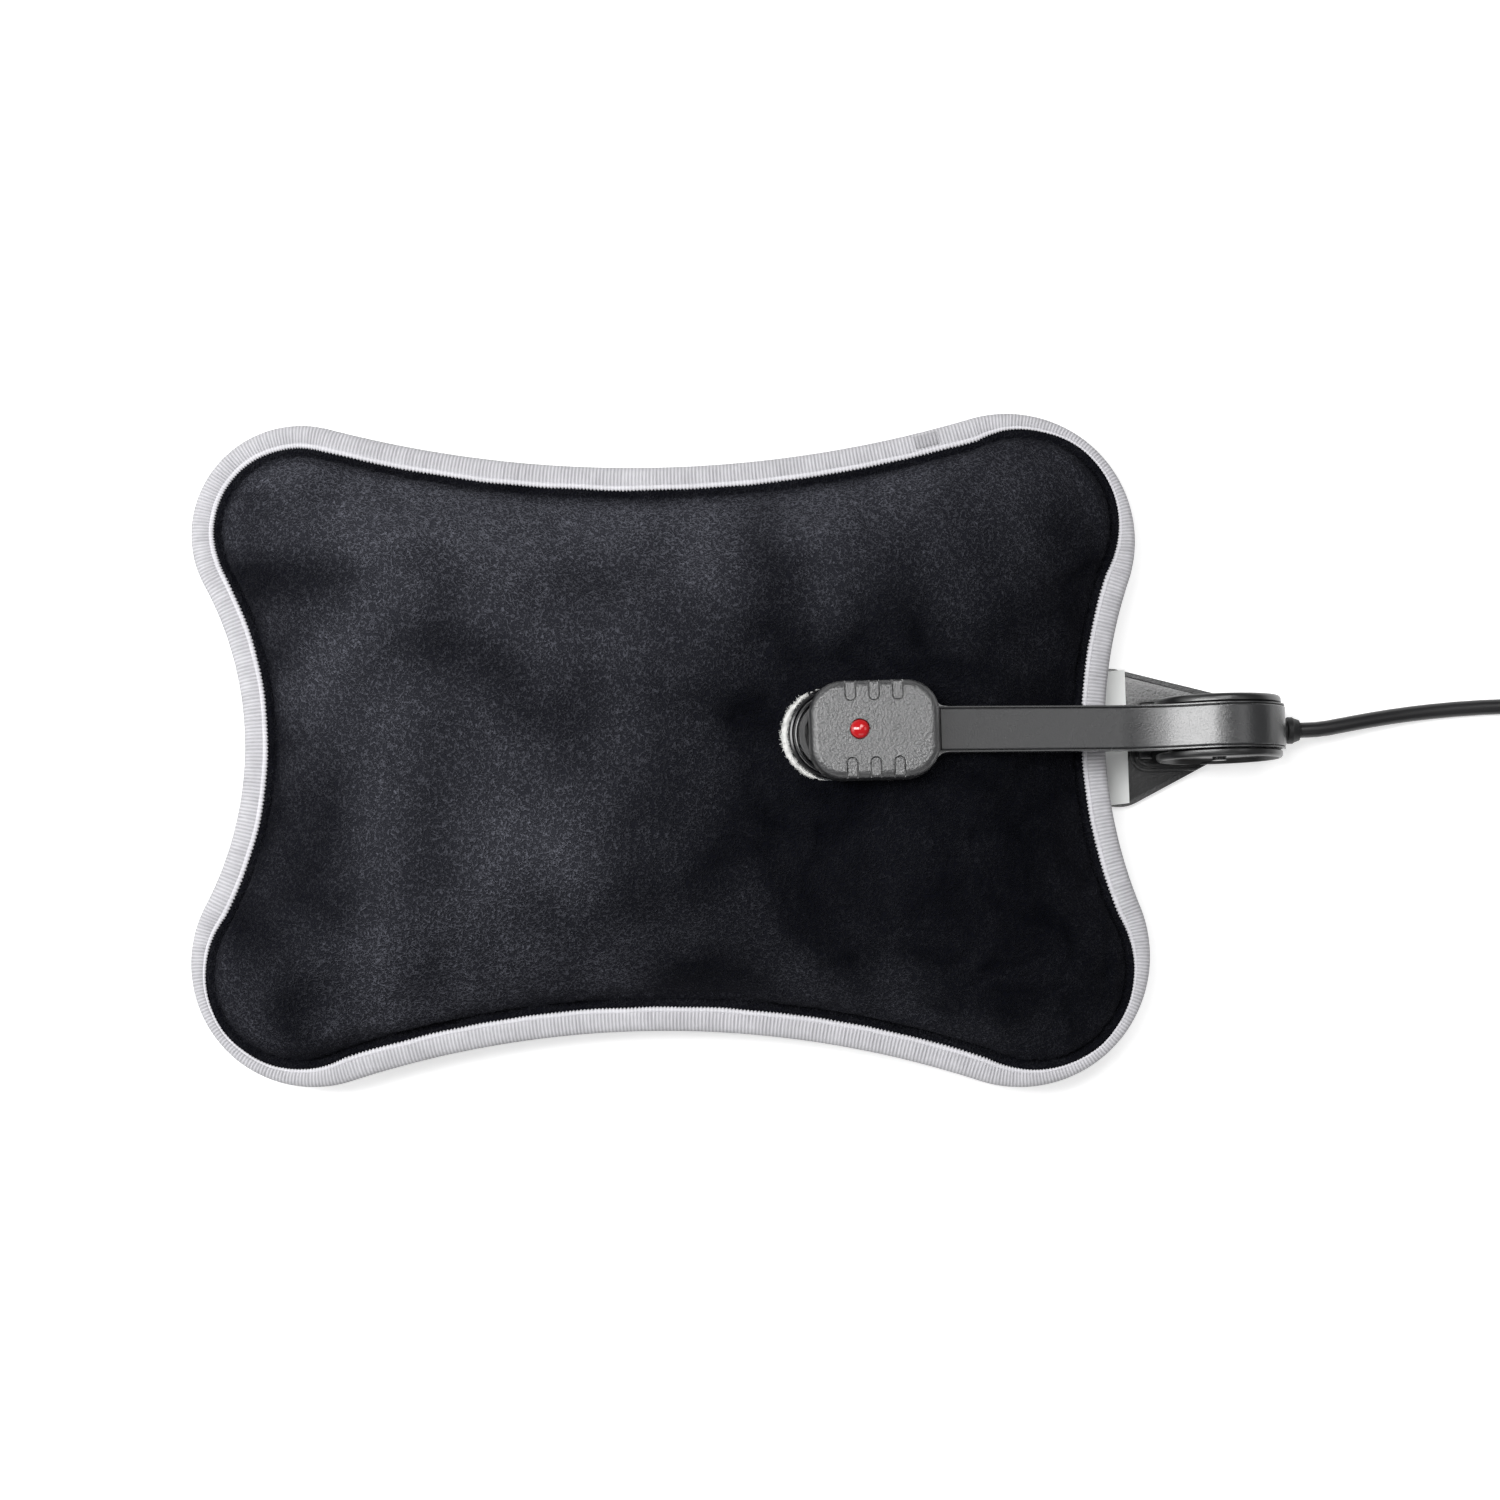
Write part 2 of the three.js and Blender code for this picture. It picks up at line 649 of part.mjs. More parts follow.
function makePort() {
  const lip = stadiumRing(portHalf, portRadius, portRadius - lipWidth, collarTop + gap, lipTop);
  const landInner = portRadius - lipLandDepth;
  const landBottom = lipTop - lipLandDepth;
  const lipLand = stadiumRing(portHalf, portRadius + overrun, landInner, landBottom, lipTop + overrun);
  piece(port, "port_lip", cut(lip, lipLand), "black");

  const flangeRadius = cupRadius + flangeWidth;
  const gasket = stadiumRing(
    portHalf,
    flangeRadius,
    cupRadius + gap,
    collarBottom - gap - gasketThickness,
    collarBottom - gap,
  );
  piece(port, "port_gasket", gasket, "rubber");

  const pinPlaces = [-pinSpacing, 0, pinSpacing];
  const holeBottom = cupBottom - overrun;
  const pinHoles = pinPlaces.map((x) => post(pinRadius + gap, holeBottom, recessFloor + overrun, x));
  const cup = join(
    upright(stadium(portHalf, cupRadius), cupBottom, cupTop),
    upright(stadium(portHalf, flangeRadius), flangeTop - flangeThickness, flangeTop),
  );
  const recess = upright(stadium(portHalf, recessRadius), recessFloor, cupTop + overrun);
  piece(port, "port_cup", cut(cup, recess, ...pinHoles), "black");

  const pinNames = ["contact_pin_live", "contact_pin_earth", "contact_pin_neutral"];
  pinPlaces.forEach((x, k) => {
    const profile = [
      [0, cupBottom - pinTail],
      [pinRadius, cupBottom - pinTail],
      [pinRadius, pinTop - pinRadius / 2],
      [pinRadius / 2, pinTop],
      [0, pinTop],
    ];
    piece(port, pinNames[k], toSolid(turned(profile, 12).translate(x, 0, 0)), "brass");
  });

  const cageTop = cupBottom - gap;
  const cageBottom = cageTop - cageDepth;
  const cageRadius = cupRadius + cageWall;
  const cageFront = portHalf + cageRadius;
  let cage = cut(
    upright(stadium(portHalf, cageRadius), cageBottom, cageTop),
    upright(stadium(portHalf, cageRadius - cageWall), cageBottom + cageWall, cageTop + overrun),
  );
  [-1, 0, 1].forEach((k) => {
    const middle = k * cageWindowPitch;
    const [west, east] = [middle - cageWindowWidth / 2, middle + cageWindowWidth / 2];
    const low = cageBottom + 2 * cageWall;
    const high = cageTop - 2 * cageWall;
    cage = cut(cage, box(west, east, -cageFront, cageFront, low, high));
    cage = cut(cage, box(-cageFront - overrun, cageFront + overrun, west, east, low, high));
  });
  piece(port, "heater_cage", cage, "ceramic");

  const legX = -portHalf - elementBack;
  const turnX = portHalf + elementFront;
  const handle = (4 / 3) * (elementSpread / 2);
  const legTop = cageTop - gap;
  const low = legTop - cageDepth * elementDropShare;
  const bend = elementSpread / 2;
  const spot = (x, y, z) => new THREE.Vector3(x, y, z);
  const path = new THREE.CurvePath();
  [-1, 1].forEach((side) => {
    const y = side * bend;
    const leg = new THREE.LineCurve3(spot(legX, y, legTop), spot(legX, y, low + bend));
    const knee = new THREE.QuadraticBezierCurve3(
      spot(legX, y, low + bend),
      spot(legX, y, low),
      spot(legX + bend, y, low),
    );
    const run = new THREE.LineCurve3(spot(legX + bend, y, low), spot(turnX, y, low));
    if (side < 0) {
      path.curves.push(leg, knee, run);
      path.curves.push(
        new THREE.CubicBezierCurve3(
          spot(turnX, -bend, low),
          spot(turnX + handle, -bend, low),
          spot(turnX + handle, bend, low),
          spot(turnX, bend, low),
        ),
      );
    } else {
      path.curves.push(new THREE.LineCurve3(run.v2, run.v1));
      path.curves.push(new THREE.QuadraticBezierCurve3(knee.v2, knee.v1, knee.v0));
      path.curves.push(new THREE.LineCurve3(leg.v2, leg.v1));
    }
  });
  piece(port, "heating_element", tube(path, elementRadius, 30, 6), "steel");

  const cutoutTop = cageTop - pinTail - gap;
  const cutoutHeight = (cutoutTop - low - elementRadius - gap) * cutoutHeightShare;
  const cutout = post(cutoutRadius, cutoutTop - cutoutHeight, cutoutTop);
  piece(port, "thermal_cutout", cutout, "ceramic");
}

// Side view of the arm and the band over the drum, as a path at a given depth below its top.
// A straight run falls from the head, a hollow blend meets the drum, and a round goes over it.
function armPath(depth, start, endAngle) {
  const centre = new THREE.Vector2(0, hingeHeight);
  const head = new THREE.Vector2(headEnd, armTop);
  const foot = new THREE.Vector2(-drumRadius, hingeHeight + drumRadius - armSink);
  const way = foot.clone().sub(head).normalize();
  const up = new THREE.Vector2(-way.y, way.x);
  const rise = head.clone().sub(centre).dot(up);
  const lift = rise + armBlend;
  const back = Math.sqrt((drumRadius + armBlend) ** 2 - lift ** 2);
  const blend = centre.clone().addScaledVector(up, lift).addScaledVector(way, -back);
  const points = [];
  const slide = (start - head.x) / way.x;
  points.push(head.clone().addScaledVector(way, slide).addScaledVector(up, -depth));
  const blendFrom = up.clone().negate().angle();
  const blendTo = centre.clone().sub(blend).angle();
  const blendSteps = 5;
  for (let step = 0; step <= blendSteps; step += 1) {
    const angle = THREE.MathUtils.lerp(blendFrom, blendTo, step / blendSteps);
    const radius = armBlend + depth;
    points.push(new THREE.Vector2(Math.cos(angle), Math.sin(angle)).multiplyScalar(radius).add(blend));
  }
  const roundFrom = blendTo - Math.PI;
  const roundSteps = 16;
  for (let step = 1; step <= roundSteps; step += 1) {
    const angle = THREE.MathUtils.lerp(roundFrom, endAngle, step / roundSteps);
    const radius = drumRadius - depth;
    points.push(new THREE.Vector2(Math.cos(angle), Math.sin(angle)).multiplyScalar(radius).add(centre));
  }
  return points;
}

function armLayer(top, bottom, width, start, endAngle) {
  const outer = armPath(top, start, endAngle);
  const inner = armPath(bottom, start, endAngle);
  return across(new THREE.Shape([...outer, ...inner.reverse()]), width);
}

function hingeEye(radius, width, side) {
  return axle(radius, side - width / 2, side + width / 2, 0, hingeHeight);
}

function sector(radius, from, to, width, side) {
  const shape = new THREE.Shape();
  shape.moveTo(0, hingeHeight);
  shape.lineTo(radius * Math.cos(from), hingeHeight + radius * Math.sin(from));
  shape.absarc(0, hingeHeight, radius, from, to, false);
  shape.closePath();
  return across(shape, width, side);
}

const webSide = armWidth / 2 - webThickness / 2 - barrelWall;
const gripPlaces = Array.from({ length: gripCount }, (_, k) => (k - (gripCount - 1) / 2) * gripPitch);

function makeUpperJaw() {
  const place = (solid, x = headX) => solid.translate([x, 0, 0]);
  const shellRing = (inset, z) =>
    roundedRing(headLength - 2 * inset, headWidth - 2 * inset, headCorner - inset, z);
  const middle = (z) => [new THREE.Vector3(0, 0, z)];
  const shell = place(
    skin([
      middle(headBottom),
      shellRing(shellRound, headBottom),
      shellRing(0, headBottom + shellRound),
      shellRing(0, shellTop),
      middle(shellTop),
    ]),
  );
  const shellRoom = place(
    skin([
      middle(headBottom + headFloor),
      shellRing(headWall, headBottom + headFloor),
      shellRing(headWall, shellTop + overrun),
      middle(shellTop + overrun),
    ]),
  );
  const boss = place(upright(stadium(portHalf, bossRadius), bossBottom, headBottom + headFloor), -jawReach);

  // The bar from the head to the drum, the band round the drum, and the web down to the eye
  const bar = new THREE.Shape([
    ...armPath(0, headEnd - headWall, bandEndAngle),
    new THREE.Vector2(0, hingeHeight),
    new THREE.Vector2(-bandInner, armPath(armDepth, -bandInner, bandEndAngle)[0].y),
    armPath(armDepth, headEnd - headWall, bandEndAngle)[0],
  ]);
  const drumRoom = axle(bandInner, -armWidth, armWidth, 0, hingeHeight, 48);
  const web = sector(bandInner + webRoot, webFrom, webTo, webThickness, webSide);
  const stripWidth = armWidth - 2 * armRim;
  const channelEnd = bandEndAngle - armChannelRun;
  const channel = armLayer(-overrun, stripThickness + gap, stripWidth, headEnd + gap, channelEnd);
  const duct = armLayer(
    stripThickness,
    stripThickness + gap + ductDepth,
    ductWidth,
    headEnd - headWall - overrun,
    ductEnd,
  );
  let frame = join(cut(across(bar, armWidth), drumRoom), web, hingeEye(eyeRadius, webThickness, webSide));
  frame = cut(frame, channel, hingeEye(hingePinRadius + gap, armWidth, 0));
  frame = cut(join(frame, shell, boss), shellRoom);
  frame = cut(frame, duct);
  [-pinSpacing, 0, pinSpacing].forEach((x) => {
    const wellTop = pinTop + contactTravel;
    const well = post(contactWellRadius, bossBottom - overrun, wellTop, x - jawReach);
    const shaftTop = headBottom + headFloor + overrun;
    const shaft = post(leafStem / 2 + gap, wellTop - gap, shaftTop, x - jawReach, 0, 10);
    frame = cut(frame, well, shaft);
  });
  piece(upperJaw, "jaw_frame", frame, "satin");

  const strip = armLayer(0, stripThickness, stripWidth - 2 * gap, headEnd + 2 * gap, bandEndAngle);
  piece(upperJaw, "arm_strip", strip, "satin");
  const leads = armLayer(
    stripThickness + 2 * gap,
    stripThickness + ductDepth,
    ductWidth - 2 * gap,
    headEnd - headWall - overrun / 2,
    ductEnd + webSlack,
  );
  piece(upperJaw, "arm_leads", leads, "rubber");

  const coverBottom = shellTop + gap;
  const outside = headRoundShares.map(([up, inwards]) =>
    shellRing(inwards * headBevel, coverBottom + up * coverHeight),
  );
  const coverRoom = place(
    skin([
      middle(coverBottom - overrun),
      shellRing(headWall, coverBottom - overrun),
      shellRing(headWall, headTop - headFloor - headBevel / 2),
      middle(headTop - headFloor - headBevel / 2),
    ]),
  );
  let headCover = place(skin([middle(coverBottom), ...outside, middle(headTop)]));
  headCover = cut(headCover, coverRoom);
  const lensX = headX - lensShift;
  headCover = cut(headCover, post(lensRadius + gap, coverBottom, headTop + overrun, lensX, 0, 24));
  gripPlaces.forEach((x) => {
    [-1, 1].forEach((side) => {
      const inner = side * (headWidth / 2 - gripReach + gripWidth / 2);
      const outer = side * (headWidth / 2 + overrun);
      const slot = join(
        post(gripWidth / 2, headTop - gripDepth, headTop + overrun, x, inner, 16),
        box(
          x - gripWidth / 2,
          x + gripWidth / 2,
          Math.min(inner, outer),
          Math.max(inner, outer),
          headTop - gripDepth,
          headTop + overrun,
        ),
      );
      headCover = cut(headCover, place(slot));
    });
  });
  piece(upperJaw, "head_cover", headCover, "satin");

  const lensFlange = headTop - headFloor - headBevel / 2 - gap;
  const lens = turned(
    [
      [0, lensFlange - leafStem],
      [lensRadius + 2 * gap, lensFlange - leafStem],
      [lensRadius + 2 * gap, lensFlange],
      [lensRadius, lensFlange],
      ...lensRoundShares.map(([out, up]) => [lensRadius * out, headTop + lensRise * up]),
    ],
    20,
  );
  piece(upperJaw, "indicator_lens", toSolid(lens.translate(lensX, 0, 0)), "red");

  const boardBottom = headBottom + headFloor + gap;
  const boardTop = boardBottom + leafStem;
  const lampTop = lensFlange - leafStem - gap;
  const lamp = turned(
    [
      [0, boardTop + gap],
      [lampRadius, boardTop + gap],
      [lampRadius, lampTop - lampRadius],
      [lampRadius * Math.SQRT1_2, lampTop - lampRadius * (1 - Math.SQRT1_2)],
      [0, lampTop],
    ],
    14,
  );
  piece(upperJaw, "indicator_lamp", toSolid(lamp.translate(lensX, 0, 0)), "clear");
  const boardHalf = headLength / 2 - headWall - headCorner / 2;
  const stemHoles = [-pinSpacing, 0, pinSpacing].map((x) =>
    post(leafStem / 2 + gap, boardBottom - overrun, boardTop + overrun, x - jawReach, 0, 10),
  );
  const board = box(headX - boardHalf, headX + boardHalf, -headCorner, headCorner, boardBottom, boardTop);
  piece(upperJaw, "lamp_board", cut(board, ...stemHoles), "board");

  const leafNames = ["contact_leaf_live", "contact_leaf_earth", "contact_leaf_neutral"];
  [-pinSpacing, 0, pinSpacing].forEach((x, k) => {
    const leafBottom = pinTop + gap;
    const leaf = turned(
      [
        [0, leafBottom],
        [leafRadius, leafBottom],
        [leafRadius, leafBottom + leafThickness],
        [leafStem / 2, leafBottom + leafThickness],
        [leafStem / 2, boardTop + gap],
        [0, boardTop + gap],
      ],
      10,
    );
    piece(upperJaw, leafNames[k], toSolid(leaf.translate(x - jawReach, 0, 0)), "brass");
  });
}

// Lower jaw: drawn along -X from the hinge, turned as one with its plate
function makeLowerJaw() {
  const fanShape = (inset) => {
    const shape = new THREE.Shape();
    const slope = (plateWide - plateNarrow) / plateFan;
    const heelHalf = plateNarrow - slope * plateHeel - inset;
    const wideHalf = plateWide - inset;
    const toe = -plateToe + inset;
    shape.moveTo(plateHeel - inset, heelHalf - plateCorner);
    const heel = plateHeel - inset;
    const rise = slope * plateCorner;
    shape.quadraticCurveTo(heel, heelHalf, heel - plateCorner, heelHalf + rise);
    shape.lineTo(-plateFan + plateCorner, wideHalf - rise);
    shape.quadraticCurveTo(-plateFan, wideHalf, toe, wideHalf - plateEdge);
    shape.lineTo(toe, -wideHalf + plateEdge);
    shape.quadraticCurveTo(-plateFan, -wideHalf, -plateFan + plateCorner, -wideHalf + rise);
    shape.lineTo(heel - plateCorner, -heelHalf - rise);
    shape.quadraticCurveTo(heel, -heelHalf, heel, -heelHalf + plateCorner);
    shape.closePath();
    return shape;
  };
  const shift = (solid) => solid.translate([0, plateShift, 0]);
  const rimTop = plateThickness + plateEdgeRise;
  const platformTop = plateThickness + platformRise;
  const platform = (inset) =>
    roundedShape(
      -platformFront + inset,
      platformBack - inset,
      -platformWidth / 2 + inset,
      platformWidth / 2 - inset,
      platformCorner - inset,
    );
  const plate = cut(
    upright(fanShape(0), 0, rimTop),
    upright(fanShape(plateEdge), plateThickness, rimTop + overrun),
  );
  const paddleHalf = plateWide - plateEdge - gap;
  const paddleNear = -paddleStart + plateWide * Math.tan(plateTurn) + plateShift;
  const inLine = (solid) => solid.rotate([0, 0, -THREE.MathUtils.radToDeg(plateTurn)]);
  const infront = (slack) => {
    const top = rimTop + 2 * overrun;
    return inLine(box(-paddleStart + slack, plateToe, -bagWidth, bagWidth, -overrun, top));
  };
  const pocket = box(
    -plateToe - overrun,
    paddleNear + gap,
    -paddleHalf - gap,
    paddleHalf + gap,
    plateFloor,
    rimTop + overrun,
  );
  const plateSolid = cut(shift(plate), cut(shift(pocket), infront(gap)));
  const wall = cut(
    upright(platform(0), plateFloor, platformTop),
    upright(platform(platformWall), plateThickness, platformTop + overrun),
  );
  const ring = inLine(wall).intersect(shift(upright(fanShape(0), 0, platformTop)));
  const outletHalf = armWidth / 2 + plateHeel * Math.tan(plateTurn) + gap;
  const outletTop = platformTop + overrun;
  const outlet = box(0, plateHeel + overrun, -outletHalf, outletHalf, plateThickness, outletTop);
  let base = cut(join(plateSolid, ring), outlet);
  [-1, 1].forEach((side) => {
    const near = side * lugSide;
    const far = side * (lugSide + lugWidth);
    const lug = box(
      -lugOut - lugLength,
      -lugOut,
      Math.min(near, far),
      Math.max(near, far),
      plateFloor,
      plateThickness + lugRise,
    );
    base = join(base, inLine(lug));
  });
  [-1, 1].forEach((side) => {
    const x = (side * footLength) / 4;
    const screw = post(footScrewRadius, -overrun, plateThickness + overrun, x, 0, 14);
    base = cut(base, inLine(screw));
  });
  piece(lowerJaw, "base_plate", base, "satin");

  const paddleShape = new THREE.Shape();
  const paddleFar = -paddleReach;
  paddleShape.moveTo(paddleNear, paddleHalf);
  paddleShape.lineTo(paddleFar + paddleHalf, paddleHalf);
  paddleShape.absarc(paddleFar + paddleHalf, 0, paddleHalf, Math.PI / 2, Math.PI * 1.5, false);
  paddleShape.lineTo(paddleNear, -paddleHalf);
  paddleShape.closePath();
  const hollow = upright(stadium(hollowHalf, paddleHalf / 2), -overrun, plateFloor);
  const paddle = cut(
    upright(paddleShape, 0, paddleTop, 8),
    box(-plateToe - gap, plateHeel, -bagWidth, bagWidth, -overrun, plateFloor + gap),
    hollow.translate([-hollowMiddle, 0, 0]),
  );
  piece(lowerJaw, "jaw_paddle", cut(shift(paddle), infront(0)), "pale");

  // The hinge stands in line with the arm
  const barrel = axle(barrelRadius, -armWidth / 2, armWidth / 2, 0, hingeHeight, 40);
  const roomHalf = armWidth / 2 - barrelWall;
  const room = axle(barrelRadius - barrelWall, -roomHalf, roomHalf, 0, hingeHeight, 32);
  const footTop = hingeHeight - barrelRadius + barrelWall;
  const footBottom = plateThickness + gap;
  const foot = box(-footLength / 2, footLength / 2, -armWidth / 2, armWidth / 2, footBottom, footTop);
  const rearTop = cordHeight + reliefRadius + 2 * gap;
  const rear = box(0, rearBlock, -rearWidth / 2, rearWidth / 2, footBottom, rearTop);
  const window = sector(
    drumRadius,
    webFrom - openAngle - webSlack,
    webTo + webSlack,
    webThickness + 2 * gap,
    webSide,
  );
  const cordBore = new THREE.CylinderGeometry(reliefNeck + gap, reliefNeck + gap, rearBlock, 16);
  cordBore.rotateZ(Math.PI / 2).translate(rearBlock, 0, cordHeight);
  const roomRadius = reliefRadius + gap;
  const collarRoom = new THREE.CylinderGeometry(roomRadius, roomRadius, reliefCollar + 2 * gap, 16);
  collarRoom.rotateZ(Math.PI / 2).translate(reliefStart + reliefCollar / 2, 0, cordHeight);
  let housing = join(barrel, foot, rear);
  housing = cut(housing, room, window, hingeEye(hingePinRadius + gap, armWidth * 2, 0));
  housing = cut(housing, toSolid(cordBore), toSolid(collarRoom));
  piece(clamp, "hinge_housing", housing, "satin");

  [-1, 1].forEach((side) => {
    const profile = [
      [hingePinRadius + gap, discInside],
      [discRadius - discBevel / 2, discInside],
      [discRadius, discInside + discBevel / 2],
      [discRadius, discOutside - discBevel],
      [discRadius - discBevel, discOutside],
      [hingePinRadius + gap, discOutside],
      [hingePinRadius + gap, discInside],
    ];
    const disc = turned(profile, 36).rotateX(side > 0 ? -Math.PI / 2 : Math.PI / 2);
    const name = side > 0 ? "side_disc_left" : "side_disc_right";
    piece(clamp, name, toSolid(disc.translate(0, 0, hingeHeight)), "satin");
  });
  const pin = axle(hingePinRadius, -discOutside, discOutside, 0, hingeHeight, 16);
  piece(clamp, "hinge_pin", pin, "steel");
}

class SpringCurve extends THREE.Curve {
  getPoint(share, target = new THREE.Vector3()) {
    const angle = share * springTurns * 2 * Math.PI;
    const reach = springSouth + springWire / 2 + share * springTurns * springPitch;
    return target.set(
      springRadius * Math.cos(angle),
      reach,
      hingeHeight + springRadius * Math.sin(angle),
    );
  }
}

const springSouth = -armWidth / 2 + barrelWall + gap;
const springNorth = webSide - webThickness / 2 - gap;
const springPitch = (springNorth - springSouth - springWire) / springTurns;

function makeSpring() {
  const spring = tube(new SpringCurve(), springWire / 2, springTurns * springSteps, 5);
  piece(clamp, "torsion_spring", spring, "steel");
}

// Cord: the free stretch's points are chosen by hand, and the coil is a formula.
// Each point is along and across from the sleeve's end, with its share of the drop to the floor.
const cordPoints = [
  [0, 0, 0],
  [2.1, 0.06, 0],
  [4.5, 0.19, 0.015],
  [7.9, 0.64, 0.06],
  [11.9, 1.44, 0.15],
  [16.4, 2.34, 0.285],
  [21.4, 3.29, 0.45],
  [26.9, 4.24, 0.627],
  [32.9, 5.14, 0.79],
  [38.9, 5.89, 0.91],
  [45.9, 6.59, 0.978],
  [53.9, 7.14, 0.997],
  [62.9, 7.49, 1],
  [71.9, 7.69, 1],
  [80.9, 7.79, 1],
  [87.9, 7.84, 1],
];
const exitX = hingeX + cordExit * cosTurn;
const exitY = hingeSide + cordExit * sinTurn;
const [routeEndX, routeEndY] = cordPoints[cordPoints.length - 1];
const coilX = exitX + routeEndX + coilLead;
const coilY = exitY + routeEndY - coilOuter;
const coilSamples = 600;

class CoilCurve extends THREE.Curve {
  getPoint(share, target = new THREE.Vector3()) {
    const swept = share * coilTurns * 2 * Math.PI;
    const half = coilTurns * Math.PI;
    const radius = coilInner + (coilPitch * Math.abs(swept - half)) / (2 * Math.PI);
    const climb = THREE.MathUtils.smoothstep(swept, half - Math.PI / 2, half + Math.PI / 2);
    const angle = Math.PI / 2 - swept;
    return target.set(
      coilX + radius * Math.cos(angle),
      coilY + radius * Math.sin(angle),
      cordFloor + coilPitch * climb,
    );
  }
}

function selfGap(points, diameter) {
  const clear = Math.ceil((Math.PI * diameter) / points[0].distanceTo(points[1]));
  let least = Infinity;
  points.forEach((p, i) => {
    for (let j = i + clear; j < points.length; j += 1) least = Math.min(least, p.distanceTo(points[j]));
  });
  return least - diameter;
}

function makeCord() {
  const turn = (profile) => toSolid(turned(profile, 16).rotateY(Math.PI / 2).translate(0, 0, cordHeight));
  const bore = cordRadius + gap;
  const neckEnd = rearBlock + gap;
  const ridge = (reliefEnd - neckEnd) / 7;
  const relief = [
    [bore, reliefStart],
    [reliefRadius, reliefStart],
    [reliefRadius, reliefStart + reliefCollar],
    [reliefNeck, reliefStart + reliefCollar],
    [reliefNeck, neckEnd + gap],
    [reliefRadius, neckEnd + gap],
    [reliefRadius, neckEnd + ridge * 3],
    [reliefRadius - reliefGroove, neckEnd + ridge * 3],
    [reliefRadius - reliefGroove, neckEnd + ridge * 4],
    [reliefRadius, neckEnd + ridge * 4],
    [reliefRadius, neckEnd + ridge * 5.6],
    [reliefNeck, reliefEnd],
    [0, reliefEnd],
    [0, reliefEnd - ridge],
    [bore, reliefEnd - ridge],
    [bore, reliefStart],
  ];
  piece(clamp, "strain_relief", turn(relief), "rubber");

  const routePoints = cordPoints.map(
    ([x, y, drop]) => new THREE.Vector3(exitX + x, exitY + y, cordHeight + drop * (cordFloor - cordHeight)),
  );
  const route = new THREE.CatmullRomCurve3(routePoints, false, "centripetal");
  const coil = new CoilCurve();
  const start = coil.getPoint(0);
  const startWay = coil.getTangent(0);
  const end = coil.getPoint(1);
  const endWay = coil.getTangent(1);
  const leadIn = start.clone().addScaledVector(startWay, -cordDiameter);
  const cordEnd = leadIn.clone().addScaledVector(startWay, -gap);
  route.points.push(cordEnd.clone().addScaledVector(startWay, -cordDiameter / 2), cordEnd);
  piece(cordSet, "cord", tube(route, cordRadius, 16, 8), "rubber");

  const tail = end.clone().addScaledVector(endWay, tailLength);
  const coilPath = new THREE.CurvePath();
  coilPath.curves.push(new THREE.LineCurve3(leadIn, start), coil, new THREE.LineCurve3(end, tail));
  const coilLength = coilPath.getLength();
  const turnLength = coil.getLength() / coilTurns;
  const steps = Math.round((coilLength / turnLength) * coilStepsPerTurn);
  piece(cordSet, "cord_coil", tube(coilPath, cordRadius, steps, 6), "rubber");
  const routeLength = route.getLength();
  console.log("cord length", (routeLength + coilLength).toFixed(1));
  console.log("coil self gap", selfGap(coil.getSpacedPoints(coilSamples), cordDiameter).toFixed(2));

  plug.position.copy(tail).addScaledVector(endWay, gap);
  plug.rotation.z = Math.atan2(endWay.y, endWay.x);
  const plugThickness = 2 * (coilTop - floorGap);
  const plugRings = plugShares.map(([along, wide, thick]) => {
    const width = plugWidth * wide;
    const height = plugThickness * thick;
    const ring = roundedRing(width, height, height * plugRoundShare, 0, 4);
    return ring.map((p) => new THREE.Vector3(along * plugLength, p.x, p.y));
  });
  const ends = [0, plugLength].map((x) => [new THREE.Vector3(x, 0, 0)]);
  const sockets = [-1, 1].map((side) => {
    const socket = new THREE.CylinderGeometry(plugPinRadius + gap, plugPinRadius + gap, plugPinLength, 12);
    return toSolid(socket.rotateZ(Math.PI / 2).translate(plugLength, (side * plugPinSpacing) / 2, 0));
  });
  piece(plug, "plug_body", cut(skin([ends[0], ...plugRings, ends[1]]), ...sockets), "rubber");
  [-1, 1].forEach((side) => {
    const root = plugPinLength / 2 - gap;
    const profile = [
      [0, plugLength - root],
      [plugPinRadius, plugLength - root],
      [plugPinRadius, plugLength + plugPinLength - plugPinRadius / 2],
      [plugPinRadius / 2, plugLength + plugPinLength],
      [0, plugLength + plugPinLength],
    ];
    const pin = turned(profile, 12).rotateY(Math.PI / 2).translate(0, (side * plugPinSpacing) / 2, 0);
    piece(plug, side < 0 ? "plug_pin_a" : "plug_pin_b", toSolid(pin), "steel");
  });
}

makeBag();
makePort();
makeUpperJaw();
makeLowerJaw();
makeSpring();
makeCord();

export default bottle;
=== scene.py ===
"""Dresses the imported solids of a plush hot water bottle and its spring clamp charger.

Lengths are in millimetres until a piece is put in its place, and in metres from then on.
"""

import math
import random

import bmesh
import bpy
from mathutils import Matrix, Vector, noise
from mathutils.kdtree import KDTree


